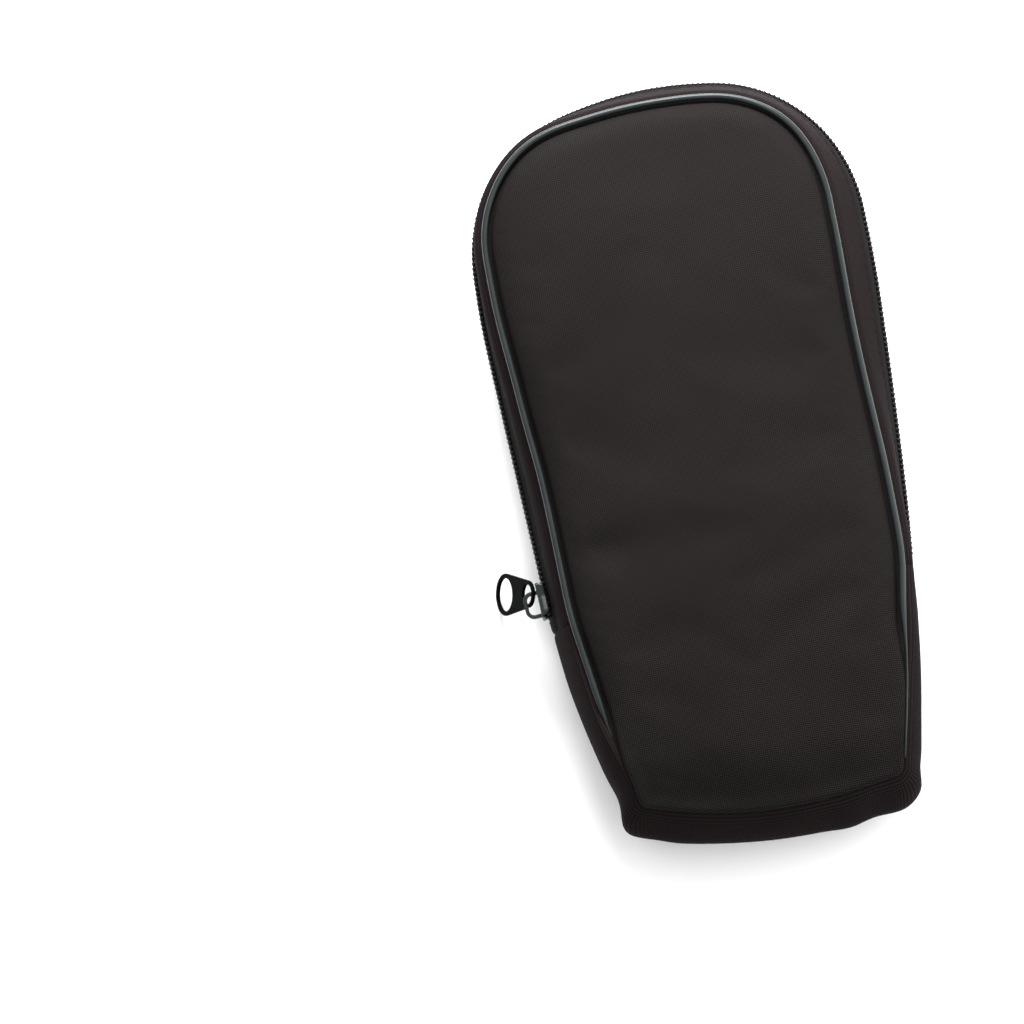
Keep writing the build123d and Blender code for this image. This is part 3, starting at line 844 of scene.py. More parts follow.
# %% Press the dents
DENTS = [
    # x, y, half width, half length in millimetres, depth (negative swells)
    (8, -62, 22, 16, 1.5),
    (22, -78, 18, 12, 1.2),
    (-20, -84, 16, 12, 0.8),
    (-34, -22, 12, 5, 1.0),
    (30, -30, 16, 20, -0.5),
    (-12, -20, 26, 14, -0.5),
    (0, 40, 34, 34, -0.6),
    (-30, 62, 16, 22, 0.4),
]
OUTER_SIDE = (37 * MM, 39.5 * MM)
FOOT_DROP = 2.2 * MM
FOOT_DROP_RUN = (50 * MM, 100 * MM)
WADDING_RIPPLE = 0.25 * MM
WADDING_RIPPLE_SIZE = 34 * MM
WADDING_SEED = 5


def press(points):
    """Lower the outer side of the front face by its dents and towards the foot."""
    outer = smooth(points[:, 2], *OUTER_SIDE)
    depth = np.zeros(len(points))
    for x, y, wide, long, deep in DENTS:
        away = ((points[:, 0] / MM - x) / wide) ** 2 + ((points[:, 1] / MM - y) / long) ** 2
        depth += deep * MM * np.exp(-away)
    depth += FOOT_DROP * smooth(-points[:, 1], *FOOT_DROP_RUN)
    depth += WADDING_RIPPLE * ripples(points, WADDING_RIPPLE_SIZE, WADDING_SEED)
    points = points.copy()
    points[:, 2] -= depth * outer
    return points


def reshape(piece, *functions):
    """Pass a piece's points through some functions."""
    points = np.array([v.co for v in piece.data.vertices])
    for function in functions:
        points = function(points)
    piece.data.vertices.foreach_set("co", points.ravel())
    piece.data.update()


reshape(front_face, press, posture)
cover(front_face, face_cloth)
bend_at_fold(
    front_face, ["front_panel_upper", "front_panel_lower", "front_foam_upper", "front_foam_lower"])
print("front face pressed with", len(DENTS), "dents")

# %% [markdown]
# ## The back face
#
# The back is the same padded form turned over. It lies on the table with the case's weight on it,
# so its outer side is flat and has no dents.

# %% Turn a second face over
def turned_over(points):
    """Mirror points from the front of the case to its back."""
    points = np.array(points, float)
    points[:, 2] = CASE_DEPTH - points[:, 2]
    return points


def laid_flat(points):
    """Press what would be under the table up onto it."""
    points[:, 2] = np.maximum(points[:, 2], 0)
    return points


back_face = face_mesh("back_face")
reshape(back_face, turned_over, posture, laid_flat)
face_outwards(back_face)
cover(back_face, face_cloth)
stay(back_face, SHELL, ["back_panel", "back_foam"])
print("back face", len(back_face.data.polygons), "faces")

# %% [markdown]
# ## The seam cords
#
# A cord covered with vinyl is sewn into each seam and stands out of it as a round glossy line. At
# the front its two ends sink into the seam beside the foot. A round profile carried along the
# outline makes it. Towards its ends the profile shrinks: on the left it drops into the seam, and on
# the right a thin tail still shows for a little way.

# %% Carry the cords round the seams
CORD_SIDES = 12
TAIL_RUN = 14 * MM
TAIL_END_RIGHT = run_at_height(-92 * MM)
TAIL_OUTWARDS = 0.35 * MM
TAIL_SHRINK = 0.7
TAIL_DEPTH_LEFT = 1.6 * MM
TAIL_RISE_RIGHT = 0.05 * MM


def round_profile(inset, level, radius):
    """A circle of (inset, height) pairs in millimetres."""
    turns = [2 * math.pi * k / CORD_SIDES for k in range(CORD_SIDES)]
    return [((inset + radius * math.cos(t)) / MM, (level + radius * math.sin(t)) / MM) for t in turns]


def sink_tails(rings, runs):
    """Shrink the cord to its ends. On the left it also sinks; on the right a thin tail goes on."""
    left = 1 - smooth(runs[-1] - runs, 0, TAIL_RUN)
    right = 1 - smooth(runs - CORD_END_RIGHT, 0, TAIL_RUN)
    centre = rings.mean(axis=1, keepdims=True)
    rings = centre + (rings - centre) * (1 - TAIL_SHRINK * np.maximum(left, right))[:, None, None]
    rings[:, :, 2] += (TAIL_RISE_RIGHT * right - TAIL_DEPTH_LEFT * left)[:, None]
    inner, _ = outline_at(runs, SEAM_CORD_INSET)
    outer, _ = outline_at(runs, SEAM_CORD_INSET - TAIL_OUTWARDS)
    rings[:, :, :2] += ((outer - inner) * right[:, None])[:, None, :]
    return rings


cord = round_profile(SEAM_CORD_INSET, SEAM_CORD_LEVEL, SEAM_CORD_RADIUS)
front_cord = strip("front_seam_cord", cord, TAIL_END_RIGHT, CORD_END_LEFT, shape=sink_tails)
cover(front_cord, cord_vinyl)
bend_at_fold(front_cord, ["front_piping_upper", "front_piping_lower"])

back_profile = round_profile(SEAM_CORD_INSET, CASE_DEPTH - SEAM_CORD_LEVEL, SEAM_CORD_RADIUS)
back_cord = strip("back_seam_cord", back_profile, 0, ROUND, caps=False)
cover(back_cord, cord_vinyl)
stay(back_cord, SHELL, ["back_piping"])
print("seam cords", len(front_cord.data.polygons), len(back_cord.data.polygons), "faces")

# %% [markdown]
# ## The walls
#
# The wall beside the zip is a strip with a turned hem. It comes up from the hem, leans in, and
# swells into a small ridge where it is pulled round the seam cord. Below the zip a plain strip
# runs round the foot from seam to seam and bulges at half depth. Each is a closed profile with
# the cloth's real thickness, so the inside is there when the front is opened.

# %% Carry the wall strips round the case
WALL = [
    (5.3, 35.0), (4.85, 34.6), (4.45, 34.45), (4.05, 34.3), (3.6, 33.8), (3.1, 32.6), (2.65, 30.9),
    (2.35, 28.8), (2.25, 27.2), (2.2, 26.8), (1.95, 26.2), (1.72, 25.5), (1.75, 25.0), (2.2, 24.8),
    (2.75, 25.2), (3.1, 26.8), (3.4, 29.5), (4.2, 32.2), (5.4, 33.5), (6.3, 34.4), (6.0, 34.95),
]
FOOT_WALL = [
    (4.6, 36.0), (4.0, 35.6), (3.2, 34.4), (2.1, 31.8), (1.0, 28.6), (0.25, 24.6), (0.0, 20.0),
    (0.25, 15.4), (1.0, 11.4), (2.1, 8.2), (3.2, 5.6), (3.9, 4.2), (4.4, 3.7), (5.6, 4.7),
    (6.3, 5.4), (4.2, 8.6), (2.2, 12.2), (1.25, 16.0), (1.0, 20.0), (1.25, 24.0), (2.2, 27.8),
    (4.2, 31.4), (6.3, 34.6), (5.8, 35.2),
]
FOOT_WALL_START = [
    (4.85, 34.6), (4.2, 34.4), (3.5, 33.7), (2.7, 31.2), (1.7, 28.0), (0.75, 24.0), (0.25, 20.0),
    (0.75, 16.0), (1.7, 12.0), (2.7, 8.8), (3.5, 6.3), (4.2, 5.6), (4.85, 5.4), (5.6, 4.9),
    (6.3, 5.4), (4.6, 8.6), (3.3, 12.2), (2.0, 16.0), (1.5, 20.0), (2.0, 24.0), (3.3, 27.8),
    (4.6, 31.4), (6.3, 34.6), (5.8, 35.0),
]
WALL_CLOSING = 1.0
CLOSING_LEVELS = (31.0, 36.0)
START_RUN = 16 * MM
WALL_LAP = 3 * MM


def foot_shape(rings, runs):
    """Start the foot's wall in line with the zip's walls, and close its top edge over the cord."""
    from_end = np.minimum(runs - runs[0], runs[-1] - runs)
    start = 1 - smooth(from_end, 0, START_RUN)
    closing = closed_share(runs)
    pairs = zip(FOOT_WALL, FOOT_WALL_START)
    for j, ((inset, height), (first_inset, first_height)) in enumerate(pairs):
        upper = float(smooth(height, *CLOSING_LEVELS))
        at = inset + (first_inset - inset) * start + WALL_CLOSING * closing * upper
        rings[:, j, :2], _ = outline_at(runs, at * MM)
        rings[:, j, 2] = (height + (first_height - height) * start) * MM
    return rings


def mirrored(profile):
    """A profile turned over to the back of the case."""
    depth = CASE_DEPTH / MM
    return [(inset, depth - height) for inset, height in profile][::-1]


front_wall = strip("front_wall", WALL, ZIP_RIGHT - WALL_LAP, ZIP_LEFT + WALL_LAP)
cover(front_wall, wall_cloth)
bend_at_fold(front_wall, ["front_gusset"])

back_wall = strip("back_wall", mirrored(WALL), ZIP_RIGHT - WALL_LAP, ZIP_LEFT + WALL_LAP)
cover(back_wall, wall_cloth)
stay(back_wall, SHELL, ["back_gusset"])

foot_wall = strip("foot_wall", FOOT_WALL, ZIP_LEFT - ROUND, ZIP_RIGHT, shape=foot_shape)
cover(foot_wall, wall_cloth)
stay(foot_wall, SHELL, ["lower_gusset"])
print("wall strips", [len(p.data.polygons) for p in (front_wall, back_wall, foot_wall)], "faces")

# %% [markdown]
# ## The zip tapes
#
# Each tape is a narrow woven strip behind the coils. Its far edge goes up behind the hem, where it
# is sewn. It leans in with the wall, so it is a leaning profile.

# %% Carry the tapes round
TAPE = [
    (1.2, 20.5), (1.15, 21.6), (1.35, 22.6), (1.95, 23.5), (2.85, 25.6), (3.4, 27.0), (4.0, 27.0),
    (3.45, 25.5), (2.5, 23.3), (2.2, 22.2), (2.0, 20.5),
]
TAPE_START = run_at_height(-37.0 * MM)
front_tape = strip("front_zip_tape", TAPE, TAPE_START, ROUND - TAPE_START)
back_tape = strip("back_zip_tape", mirrored(TAPE), TAPE_START, ROUND - TAPE_START)
for tape in (front_tape, back_tape):
    tape.data.materials.append(tape_cloth)
bend_at_fold(front_tape, ["zipper_tape_front"])
stay(back_tape, SHELL, ["zipper_tape_back"])
print("tapes", [len(tape.data.polygons) for tape in (front_tape, back_tape)], "faces")

# %% [markdown]
# ## Coils and stitches with Geometry Nodes
#
# Coils and stitches are both one small form, placed again and again along a path. One function
# builds the tree for either: it turns a path into a curve, puts points on it a pitch apart, and
# puts one loop or stitch on each point. A vector that is stored on the path says which way each
# one leans, so that they follow a leaning seam. The tree ends in real geometry with its material.

# %% Build the tree that repeats a form along a path
LOOP_SIDES, WIRE_SIDES = 10, 5
GRAIN_SEGMENTS, GRAIN_RINGS = 6, 5
REPEAT_SOCKETS = [
    ("Geometry", "NodeSocketGeometry"), ("Pitch", "NodeSocketFloat"),
    ("Half length", "NodeSocketFloat"), ("Half height", "NodeSocketFloat"),
    ("Wire radius", "NodeSocketFloat"), ("Material", "NodeSocketMaterial"),
]


def scaled(tree, geometry_socket, x=1.0, y=1.0, z=1.0):
    """A form scaled by numbers or sockets."""
    size = add_node(tree, "ShaderNodeCombineXYZ", {"X": x, "Y": y, "Z": z})
    shaped = add_node(tree, "GeometryNodeTransform", {
        "Geometry": geometry_socket, "Scale": size.outputs[0]})
    return shaped.outputs["Geometry"]


def loop_form(tree, inlet):
    """One flat loop of round wire: an ellipse with a round section, from named sizes."""
    circle = add_node(tree, "GeometryNodeCurvePrimitiveCircle", {
        "Resolution": LOOP_SIDES, "Radius": 1.0})
    section = add_node(tree, "GeometryNodeCurvePrimitiveCircle", {
        "Resolution": WIRE_SIDES, "Radius": inlet.outputs["Wire radius"]})
    ellipse = scaled(tree, circle.outputs["Curve"],
                     x=inlet.outputs["Half height"], y=inlet.outputs["Half length"])
    wire = add_node(tree, "GeometryNodeCurveToMesh", {
        "Curve": ellipse, "Profile Curve": section.outputs["Curve"]})
    return wire.outputs["Mesh"]


def grain_form(tree, inlet):
    """One stitch: a small long grain of thread, from named sizes."""
    ball = add_node(tree, "GeometryNodeMeshUVSphere", {
        "Segments": GRAIN_SEGMENTS, "Rings": GRAIN_RINGS})
    wire, half = inlet.outputs["Wire radius"], inlet.outputs["Half length"]
    return scaled(tree, ball.outputs["Mesh"], x=wire, y=wire, z=half)


def repeat_tree(name, form):
    """Repeat a form along a path. The loop's length lies across the path, a stitch's along it."""
    tree, inlet, outlet = new_tree(
        name, "GeometryNodeTree", REPEAT_SOCKETS, "Geometry", "NodeSocketGeometry")
    path = add_node(tree, "GeometryNodeMeshToCurve", {"Mesh": inlet.outputs["Geometry"]})
    spaced = add_node(tree, "GeometryNodeResampleCurve", mode="LENGTH")
    fill_inputs(tree, spaced, {"Curve": path.outputs["Curve"], "Length": inlet.outputs["Pitch"]})
    across = add_node(tree, "GeometryNodeInputNamedAttribute", data_type="FLOAT_VECTOR")
    fill_inputs(tree, across, {"Name": "across"})
    tangent = tree.nodes.new("GeometryNodeInputTangent")
    turn = add_node(tree, "FunctionNodeAxesToRotation", {
        "Primary Axis": tangent.outputs[0], "Secondary Axis": across.outputs["Attribute"],
    }, primary_axis="Z", secondary_axis="Y")
    placed = add_node(tree, "GeometryNodeInstanceOnPoints", {
        "Points": spaced.outputs["Curve"], "Instance": form(tree, inlet), "Rotation": turn.outputs[0]})
    real = add_node(tree, "GeometryNodeRealizeInstances", {"Geometry": placed.outputs["Instances"]})
    paint = add_node(tree, "GeometryNodeSetMaterial", {
        "Geometry": real.outputs["Geometry"], "Material": inlet.outputs["Material"]})
    fill_inputs(tree, outlet, {"Geometry": paint.outputs["Geometry"]})
    return tree


LOOP_TREE = repeat_tree("loops_along_a_path", loop_form)
GRAIN_TREE = repeat_tree("stitches_along_a_path", grain_form)
print("trees", LOOP_TREE.name, GRAIN_TREE.name)


# %% Run a tree along the case
PATH_STEP = 1.0 * MM


def repeat_along(name, tree, points, across, material, sizes):
    """Run the tree on a path and keep the result as a plain mesh."""
    mesh = bpy.data.meshes.new(name + "_path")
    mesh.from_pydata([tuple(p) for p in points], [(i, i + 1) for i in range(len(points) - 1)], [])
    lean = mesh.attributes.new("across", "FLOAT_VECTOR", "POINT")
    lean.data.foreach_set("vector", np.array(across, np.float32).ravel())
    path = bpy.data.objects.new(name + "_path", mesh)
    scene.collection.objects.link(path)
    modifier = path.modifiers.new("repeat", "NODES")
    modifier.node_group = tree
    values = {**sizes, "Material": material}
    for item in tree.interface.items_tree:
        if item.in_out == "INPUT" and item.name in values:
            modifier[item.identifier] = values[item.name]
    evaluated = path.evaluated_get(bpy.context.evaluated_depsgraph_get())
    made = bpy.data.meshes.new_from_object(evaluated)
    made.name = name
    piece = bpy.data.objects.new(name, made)
    scene.collection.objects.link(piece)
    bpy.data.objects.remove(path)
    piece.data.polygons.foreach_set("use_smooth", [True] * len(piece.data.polygons))
    print(name, len(piece.data.polygons), "faces")
    return piece


def seam_path(start, stop, inset, height, offset=0.0):
    """Points along the outline at a place of the profile, and the plan direction outwards."""
    runs = np.linspace(start, stop, int((stop - start) / PATH_STEP)) + offset
    place, outward = outline_at(runs, inset * MM)
    points = np.column_stack([place, np.full(len(runs), height * MM)])
    return posture(points), np.column_stack([outward, np.zeros(len(runs))])


# %% Two rows of coils
# Places and sizes in the profile are in millimetres.
COIL_PITCH = 1.4 * MM
COIL_START = run_at_height(-34.4 * MM)
COIL_INSET = 0.9
COIL_OFFSET = 1.08
COIL_SIZES = {
    "Pitch": COIL_PITCH, "Half length": 1.36 * MM, "Half height": 0.52 * MM, "Wire radius": 0.36 * MM,
}
CORE_INSET = COIL_INSET - 0.06
CORE_HALF_WIDTH, CORE_HALF_HEIGHT = 0.62, 1.0
CORE_SHIFT = 0.1
CORE_SIDES = 8
CORE_STEP = 2 * MM


def coil_row(name, side, offset):
    """One row of coils: front for side 1, back for side -1."""
    height = MIDDLE / MM + side * COIL_OFFSET
    points, _ = seam_path(COIL_START, ROUND - COIL_START, COIL_INSET, height, offset)
    up = np.tile([0.0, 0.0, 1.0], (len(points), 1))
    return repeat_along(name, LOOP_TREE, points, up, coil_nylon, COIL_SIZES)


def core_strip(name, side):
    """The filler cord inside one row of coils."""
    height = MIDDLE / MM + side * (COIL_OFFSET + CORE_SHIFT)
    turns = [2 * math.pi * k / CORE_SIDES for k in range(CORE_SIDES)]
    profile = [(CORE_INSET + CORE_HALF_WIDTH * math.cos(t), height + CORE_HALF_HEIGHT * math.sin(t))
               for t in turns]
    piece = strip(name, profile, COIL_START, ROUND - COIL_START, station_step=CORE_STEP)
    return cover(piece, tape_cloth)


front_coils = coil_row("front_coils", 1, 0.0)
back_coils = coil_row("back_coils", -1, COIL_PITCH / 2)
bend_at_fold(front_coils, ["zipper_teeth_front"])
stay(back_coils, SHELL, ["zipper_teeth_back"])
front_core, back_core = core_strip("front_coil_core", 1), core_strip("back_coil_core", -1)
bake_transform(front_core)
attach(back_core, SHELL)

# %% [markdown]
# ## Stitches
#
# Lockstitch shows as a row of short grains that sink a little into the cloth. One row holds each
# hem to its tape.

# %% Sew the hems
STITCH_SIZES = {"Pitch": 3.0 * MM, "Half length": 1.15 * MM, "Wire radius": 0.2 * MM}
HEM_INSET, HEM_HEIGHT = 2.28, 26.9


def sew(name, start, stop, inset, height):
    """A row of stitches along the outline."""
    points, outward = seam_path(start, stop, inset, height)
    return repeat_along(name, GRAIN_TREE, points, outward, black_thread, STITCH_SIZES)


front_stitches = sew("front_hem_stitches", ZIP_RIGHT, ZIP_LEFT, HEM_INSET, HEM_HEIGHT)
back_stitches = sew("back_hem_stitches", ZIP_RIGHT, ZIP_LEFT, HEM_INSET, CASE_DEPTH / MM - HEM_HEIGHT)
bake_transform(front_stitches)
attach(back_stitches, SHELL)

# %% [markdown]
# ## The inside
#
# When the front is opened it shows its lining, the binding that covers the raw seam, and the
# elastic that holds the instrument. The linings are thin flat sheets. The binding is a narrow tape
# folded over the seam's raw edges, so its profile is a thick strip with a rounded free edge.

# %% Linings and bindings
LINING_INSET = 8.3 * MM
LINING_NET = 4 * MM
FRONT_LINING_LEVELS = (34.2, 34.75)
BACK_LINING_LEVELS = (5.25, 5.8)
BINDING = [
    (7.35, 34.7), (7.3, 33.5), (7.35, 32.2), (7.55, 31.6), (8.0, 31.6), (8.2, 32.2), (8.25, 33.5),
    (8.2, 34.7),
]


def lining_mesh(name, low, high):
    """A thin closed sheet across the inside of a face, heights in millimetres."""
    runs = np.linspace(0, ROUND, FACE_STATIONS, endpoint=False)
    loop, _ = outline_at(runs, LINING_INSET)
    places, net = even_net(loop, LINING_NET)
    count, around = len(places), len(loop)
    upper = np.column_stack([places, np.full(count, high * MM)])
    lower = np.column_stack([places, np.full(count, low * MM)])
    faces = net + [tuple(i + count for i in face[::-1]) for face in net]
    faces += [(i, (i + 1) % around, (i + 1) % around + count, i + count) for i in range(around)]
    piece = face_outwards(new_piece(name, np.vstack([upper, lower]), faces))
    reshape(piece, posture)
    piece.data.materials.append(lining_cloth)
    return piece


front_lining = lining_mesh("front_lining_sheet", *FRONT_LINING_LEVELS)
bend_at_fold(front_lining, ["front_lining_upper", "front_lining_lower"])
back_lining = lining_mesh("back_lining_sheet", *BACK_LINING_LEVELS)
stay(back_lining, SHELL, ["back_lining"])

front_binding = strip("front_binding_strip", BINDING, 0, ROUND, caps=False)
back_binding = strip("back_binding_strip", mirrored(BINDING), 0, ROUND, caps=False)
for piece in (front_binding, back_binding):
    piece.data.materials.append(binding_cloth)
bend_at_fold(front_binding, ["front_binding_upper", "front_binding_lower"])
stay(back_binding, SHELL, ["back_binding"])

print("linings", [len(p.data.polygons) for p in (front_lining, back_lining)], "faces")

# %% [markdown]
# ## The elastic keeper and the zip's end tabs
#
# The keeper is a wide elastic band. Its two feet are sewn flat to the back lining and it stands up
# between them as a soft arch. The end tabs are short folded strips of tape sewn over the ends of
# the zip. Both are closed profiles with cloth's thickness, softened by subdivision.

# %% Make the keeper
# Places and sizes are in millimetres. The band bows out sideways by a share of its width at the
# middle of its rows, and upwards by a part of that share.
KEEPER_HALF, KEEPER_LOW, KEEPER_TOP, KEEPER_BEND = 12.7, 6.5, 26.4, 11.0
KEEPER_THICKNESS = 1.3
KEEPER_ROWS = np.linspace(-34.4, -9.6, 9)
KEEPER_BOW, KEEPER_RISE = 0.02, 0.4
ARCH_POINTS = 17


def band(name, line, thickness, rows, cloth):
    """A band with a thickness whose middle line lies in X and Z, drawn out along rows of Y."""
    line = np.array(line, float)
    run = np.gradient(line, axis=0)
    normal = np.column_stack([-run[:, 1], run[:, 0]])
    normal /= np.linalg.norm(normal, axis=1)[:, None]
    profile = np.vstack([line + normal * thickness / 2, (line - normal * thickness / 2)[::-1]])
    middle, half = (rows[0] + rows[-1]) / 2, (rows[-1] - rows[0]) / 2
    lowest = profile[:, 1].min()
    rings = []
    for row in rows:
        swell = 1 + KEEPER_BOW * (1 - ((row - middle) / half) ** 2)
        rise = 1 + (swell - 1) * KEEPER_RISE
        rings.append(np.column_stack([profile[:, 0] * swell, np.full(len(profile), row),
                                      lowest + (profile[:, 1] - lowest) * rise]))
    piece = grid(name, np.array(rings) * MM)
    return cover(piece, cloth)


arch = [(KEEPER_HALF * math.cos(t), KEEPER_TOP - KEEPER_BEND + KEEPER_BEND * math.sin(t))
        for t in np.linspace(0, math.pi, ARCH_POINTS)]
right_foot = [(20.5, KEEPER_LOW), (17.0, KEEPER_LOW), (14.2, 6.6), (13.0, 7.6), (KEEPER_HALF, 11.0)]
keeper_line = right_foot + arch + [(-x, z) for x, z in right_foot[::-1]]
keeper = band("elastic_band", keeper_line, KEEPER_THICKNESS, KEEPER_ROWS, elastic_cloth)
stay(keeper, SHELL, ["elastic_keeper"])
print("keeper", len(keeper.data.polygons), "faces")

# %% Make the end tabs
TAB = [
    (1.3, 15.3), (0.75, 16.6), (0.35, 18.2), (0.2, 20.0), (0.35, 21.8), (0.75, 23.4), (1.3, 24.7),
    (2.2, 24.75), (2.75, 24.6), (2.8, 22.5), (2.85, 20.0), (2.8, 17.5), (2.75, 15.4), (2.2, 15.25),
]
TAB_TOP, TAB_EDGE, TAB_BOTTOM = (run_at_height(y * MM) for y in (-34.1, -37.6, -42.9))
TAB_STEP = 0.6 * MM
# Below TAB_EDGE the tab sinks behind the wall. It reaches the inset TAB_BEHIND, in millimetres, at
# this many times its visible length.
TAB_SUNK_AT, TAB_BEHIND = 1.4, 1.7
TAB_ROUNDING_RUN, TAB_ROUNDING = 0.8 * MM, 0.7


def tab_shape(rings, runs):
    """Below its visible part the tab lies behind the foot's wall, and its upper edge is rounded."""
    seen = TAB_TOP - TAB_EDGE
    from_top = np.minimum(np.abs(runs - TAB_TOP), np.abs(ROUND - TAB_TOP - runs))
    behind = smooth(from_top, seen, TAB_SUNK_AT * seen)
    edge = 1 - smooth(from_top, 0, TAB_ROUNDING_RUN)
    for j, (inset, _) in enumerate(TAB):
        least = np.maximum(inset, TAB_BEHIND * behind + TAB_ROUNDING * edge)
        rings[:, j, :2], _ = outline_at(runs, least * MM)
    return rings


tab_runs = {"right": (TAB_BOTTOM, TAB_TOP), "left": (ROUND - TAB_TOP, ROUND - TAB_BOTTOM)}
for side, (start, stop) in tab_runs.items():
    tab = strip("end_tab_" + side, TAB, start, stop, station_step=TAB_STEP, shape=tab_shape)
    cover(tab, tape_cloth)
    stay(tab, SHELL, ["zip_end_tab_" + side])
    print("end tab", side, len(tab.data.polygons), "faces")

# %% [markdown]
# ## The slider and its tab
#
# Die-cast metal has no sharp edge: each one is rounded by a fraction of a millimetre, and that is
# where it shines. The frame's own solids have the right shape, so each is copied, its triangles
# are joined into whole faces again, and a bevel rounds the edges.

# %% Round the edges of the metal
EDGE_ROUNDING = 0.22 * MM
ROUNDING_STEPS = 3
ONE_FACE_WITHIN = math.radians(2)
EDGE_ABOVE = math.radians(40)


def rounded_copy(node, name, body, enamel):
    """A copy of a rigid solid with merged points, whole faces and rounded edges."""
    piece = bpy.data.objects.new(name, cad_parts[node].data.copy())
    scene.collection.objects.link(piece)
    work = bmesh.new()
    work.from_mesh(piece.data)
    bmesh.ops.remove_doubles(work, verts=work.verts, dist=SAME_PLACE)
    bmesh.ops.dissolve_limit(work, angle_limit=ONE_FACE_WITHIN, verts=work.verts, edges=work.edges)
    bmesh.ops.recalc_face_normals(work, faces=work.faces)
    work.to_mesh(piece.data)
    work.free()
    piece.data.polygons.foreach_set("use_smooth", [True] * len(piece.data.polygons))
    piece.data.materials.clear()
    piece.data.materials.append(enamel)
    bevel = piece.modifiers.new("rounded", "BEVEL")
    bevel.width = EDGE_ROUNDING
    bevel.segments = ROUNDING_STEPS
    bevel.limit_method = "ANGLE"
    bevel.angle_limit = EDGE_ABOVE
    bevel.use_clamp_overlap = True
    piece.modifiers.new("even_light", "WEIGHTED_NORMAL")
    stay(piece, body, [node])
    print(name, "copied with", len(piece.data.polygons), "faces")


rounded_copy("slider_body", "zip_slider", "slider", slider_enamel)

# %% [markdown]
# ## The slider's lips
#
# The slider's plates have edges that fold in over the coils and hold them. Each is a small closed
# profile carried along the edge of its plate, nearer to the middle of the zip where the slider is
# narrow, and a little smaller at its ends. The lips are made here only, because the frame's solids
# keep clear of each other.

# %% Fold the lips
# Where the slider is parked, and which way the zip runs there and which way is inwards.
LIP_PARKED = Vector((-49.746, -29.0, 20.0)) * MM
LIP_ALONG = Vector((-0.049536, 0.998772, 0))
LIP_INWARDS = Vector((0.998772, 0.049536, 0))
# How far the lips are from the middle of the zip, at places along the slider, and their profile
# as (inwards, away from the middle) pairs, in millimetres.
LIP_AT = (-4.5, -4.0, -3.4, 1.2, 4.5)
LIP_HEIGHT = (4.1, 4.35, 4.35, 3.15, 3.15)
LIP = [
    (-1.15, -0.4), (-1.2, 0.1), (-0.95, 0.32), (0.6, 0.34), (0.95, 0.2), (1.05, -0.05),
    (0.85, -0.26), (-0.2, -0.28), (-0.32, -0.4),
]
LIP_HALF_LENGTH, LIP_STATIONS = 4.3, 22
LIP_END_SIZE, LIP_END_RUN, LIP_END_OUT = 0.55, 0.8, 0.3


def lip_ring(place, side):
    """The lip's profile at one place along the slider: front for side 1, back for side -1."""
    level = float(np.interp(place, LIP_AT, LIP_HEIGHT))
    size = min(1.0, (LIP_HALF_LENGTH - abs(place)) / LIP_END_RUN + LIP_END_SIZE)
    ring = []
    for inwards, rise in LIP:
        across = inwards * size - LIP_END_OUT * (1 - size)
        up = Vector((0, 0, side * (level + rise * size)))
        ring.append(LIP_PARKED + MM * (LIP_ALONG * place + LIP_INWARDS * across + up))
    return ring


def slider_lips():
    """The slider's two edges, folded in over the coils along the outline of its plate."""
    points, faces = [], []
    for side in (1, -1):
        first = len(points)
        for place in np.linspace(-LIP_HALF_LENGTH, LIP_HALF_LENGTH, LIP_STATIONS):
            points += lip_ring(place, side)
        for face in band_faces(LIP_STATIONS, len(LIP)) + end_faces(LIP_STATIONS, len(LIP)):
            faces.append(tuple(first + corner for corner in face))
    piece = face_outwards(new_piece("zip_slider_lips", points, faces))
    cover(piece, slider_enamel)
    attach(piece, "slider")
    print("slider lips", len(piece.data.polygons), "faces")


slider_lips()

# %% Round the tab in the same way
rounded_copy("pull_tab", "zip_pull_tab", "pull", tab_enamel)

# %% [markdown]
# ## Floor, light and camera
#
# The case lies on a plain pale floor under a wide soft light from beyond its top and a weaker one
# from the right, with a pale glow from above. The camera looks down from above the foot with a long
# lens.

# %% Floor
FLOOR_HALF = 3.0
FLOOR_GAP = 0.2 * MM

floor_corners = [(x * FLOOR_HALF, y * FLOOR_HALF, 0) for x, y in ((-1, -1), (1, -1), (1, 1), (-1, 1))]
floor_mesh = bpy.data.meshes.new("floor")
floor_mesh.from_pydata(floor_corners, [], [(0, 1, 2, 3)])
floor = bpy.data.objects.new("floor", floor_mesh)
floor.location.z = -FLOOR_GAP
scene.collection.objects.link(floor)
floor_paint, floor_tree, floor_shader = new_material("floor_paint")
fill_inputs(floor_tree, floor_shader, {
    "Base Color": (0.9, 0.9, 0.9, 1), "Roughness": 0.9, "Specular IOR Level": 0.1})
floor_mesh.materials.append(floor_paint)
print("floor", 2 * FLOOR_HALF, "m across")

# %% Light
# The room is bright overhead and darker towards its walls, as under a wide soft ceiling of light.
CEILING = 1.9
WALL_GREY, CEILING_WHITE = (0.10, 0.10, 0.10), (1, 1, 1)
GREY_BELOW, WHITE_ABOVE = 0.15, 1.0
LIGHTS_AIM = Vector((0, 0, 0.02))

world = bpy.data.worlds.new("studio")
world.use_nodes = True
room = world.node_tree
direction = room.nodes.new("ShaderNodeTexCoord")
upwards = add_node(room, "ShaderNodeSeparateXYZ", {0: direction.outputs["Generated"]})
shade = colour_ramp(room, upwards.outputs["Z"], WALL_GREY, CEILING_WHITE, GREY_BELOW, WHITE_ABOVE)
fill_inputs(room, room.nodes["Background"], {"Color": shade, "Strength": CEILING})
scene.world = world


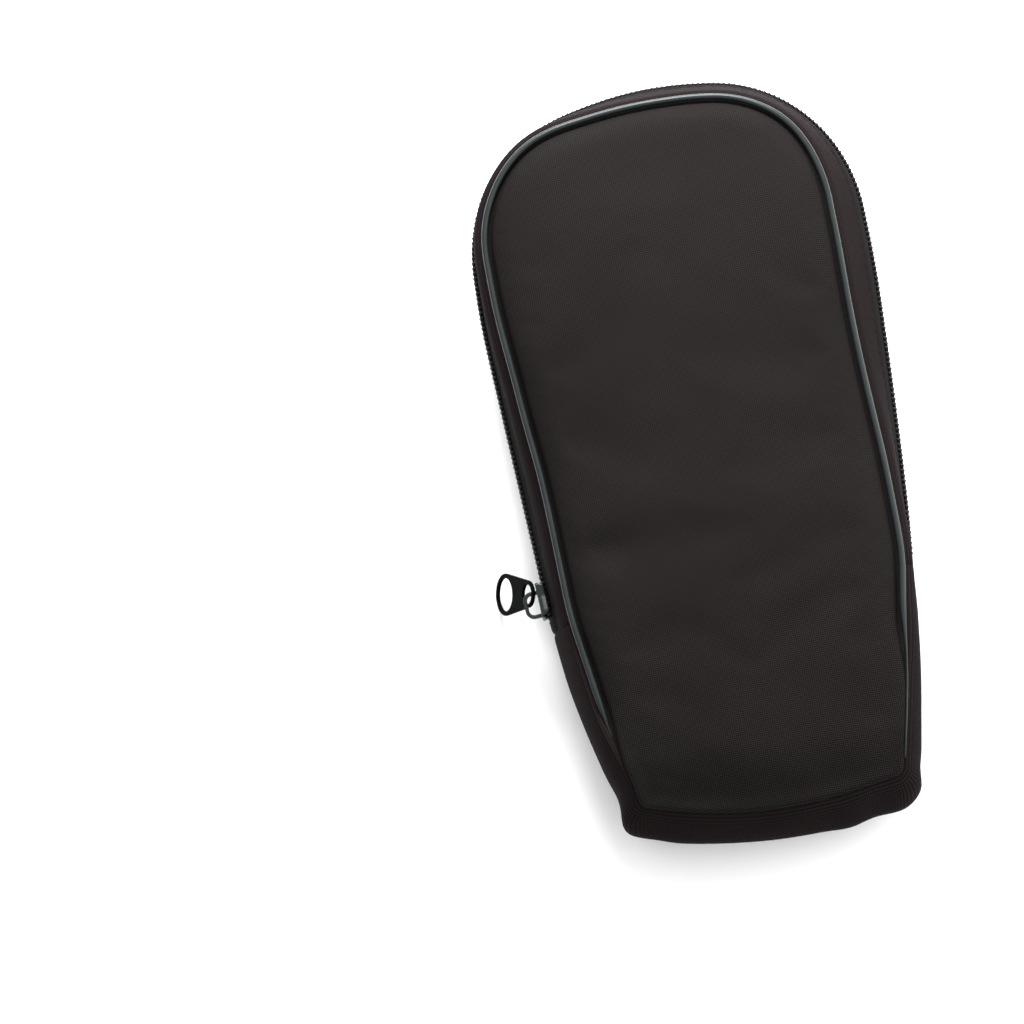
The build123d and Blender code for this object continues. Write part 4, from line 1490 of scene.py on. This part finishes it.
def soft_light(name, place, size, power):
    """A square soft light that looks at the case."""
    data = bpy.data.lights.new(name, "AREA")
    data.shape = "SQUARE"
    data.size = size
    data.energy = power
    light = bpy.data.objects.new(name, data)
    light.location = place
    light.rotation_mode = "QUATERNION"
    light.rotation_quaternion = (Vector(place) - LIGHTS_AIM).to_track_quat("Z", "Y")
    scene.collection.objects.link(light)
    print(name, "light of", power, "W,", size, "m wide")


soft_light("key", (0.05, 0.48, 0.325), 0.31, 12.0)
soft_light("side", (0.42, 0.0, 0.22), 0.42, 2.4)

# %% Camera
# The picture's width and the place of the case's middle in it are in pixels, SCALE in pixels to
# the metre.
PICTURE = 1024
CASE_AT = (708, 461.5)
SCALE = 3.75 / MM
DISTANCE = 1.1
TILT = math.radians(12)
TURN = math.radians(10)
MIDDLE_LEVEL = 0.6 * CASE_DEPTH
SENSOR_WIDTH = 36
NEAREST = 0.01
UPWARDS = Vector((0, 0, 1))

up_in_plan = Vector((math.sin(TURN), math.cos(TURN), 0))
right_in_plan = Vector((math.cos(TURN), -math.sin(TURN), 0))
case_centre = Vector((0, 0, MIDDLE_LEVEL))
camera_data = bpy.data.cameras.new("camera")
camera_data.sensor_width = SENSOR_WIDTH
camera_data.lens = SENSOR_WIDTH * DISTANCE * SCALE / PICTURE
camera_data.clip_start = NEAREST
camera = bpy.data.objects.new("camera", camera_data)
to_camera = UPWARDS * math.cos(TILT) - up_in_plan * math.sin(TILT)
camera.location = case_centre + DISTANCE * to_camera
aside = (CASE_AT[0] - PICTURE / 2) / SCALE
above = (PICTURE / 2 - CASE_AT[1]) / SCALE / math.cos(TILT)
aim = case_centre - right_in_plan * aside - up_in_plan * above
look = (aim - camera.location).normalized()
side = look.cross(up_in_plan).normalized()
above_axis = side.cross(look)
camera.rotation_mode = "QUATERNION"
camera.rotation_quaternion = Matrix((side, above_axis, -look)).transposed().to_quaternion()
scene.collection.objects.link(camera)
scene.camera = camera
scene.view_settings.view_transform = "Standard"
print("lens", round(camera_data.lens, 1), "mm")
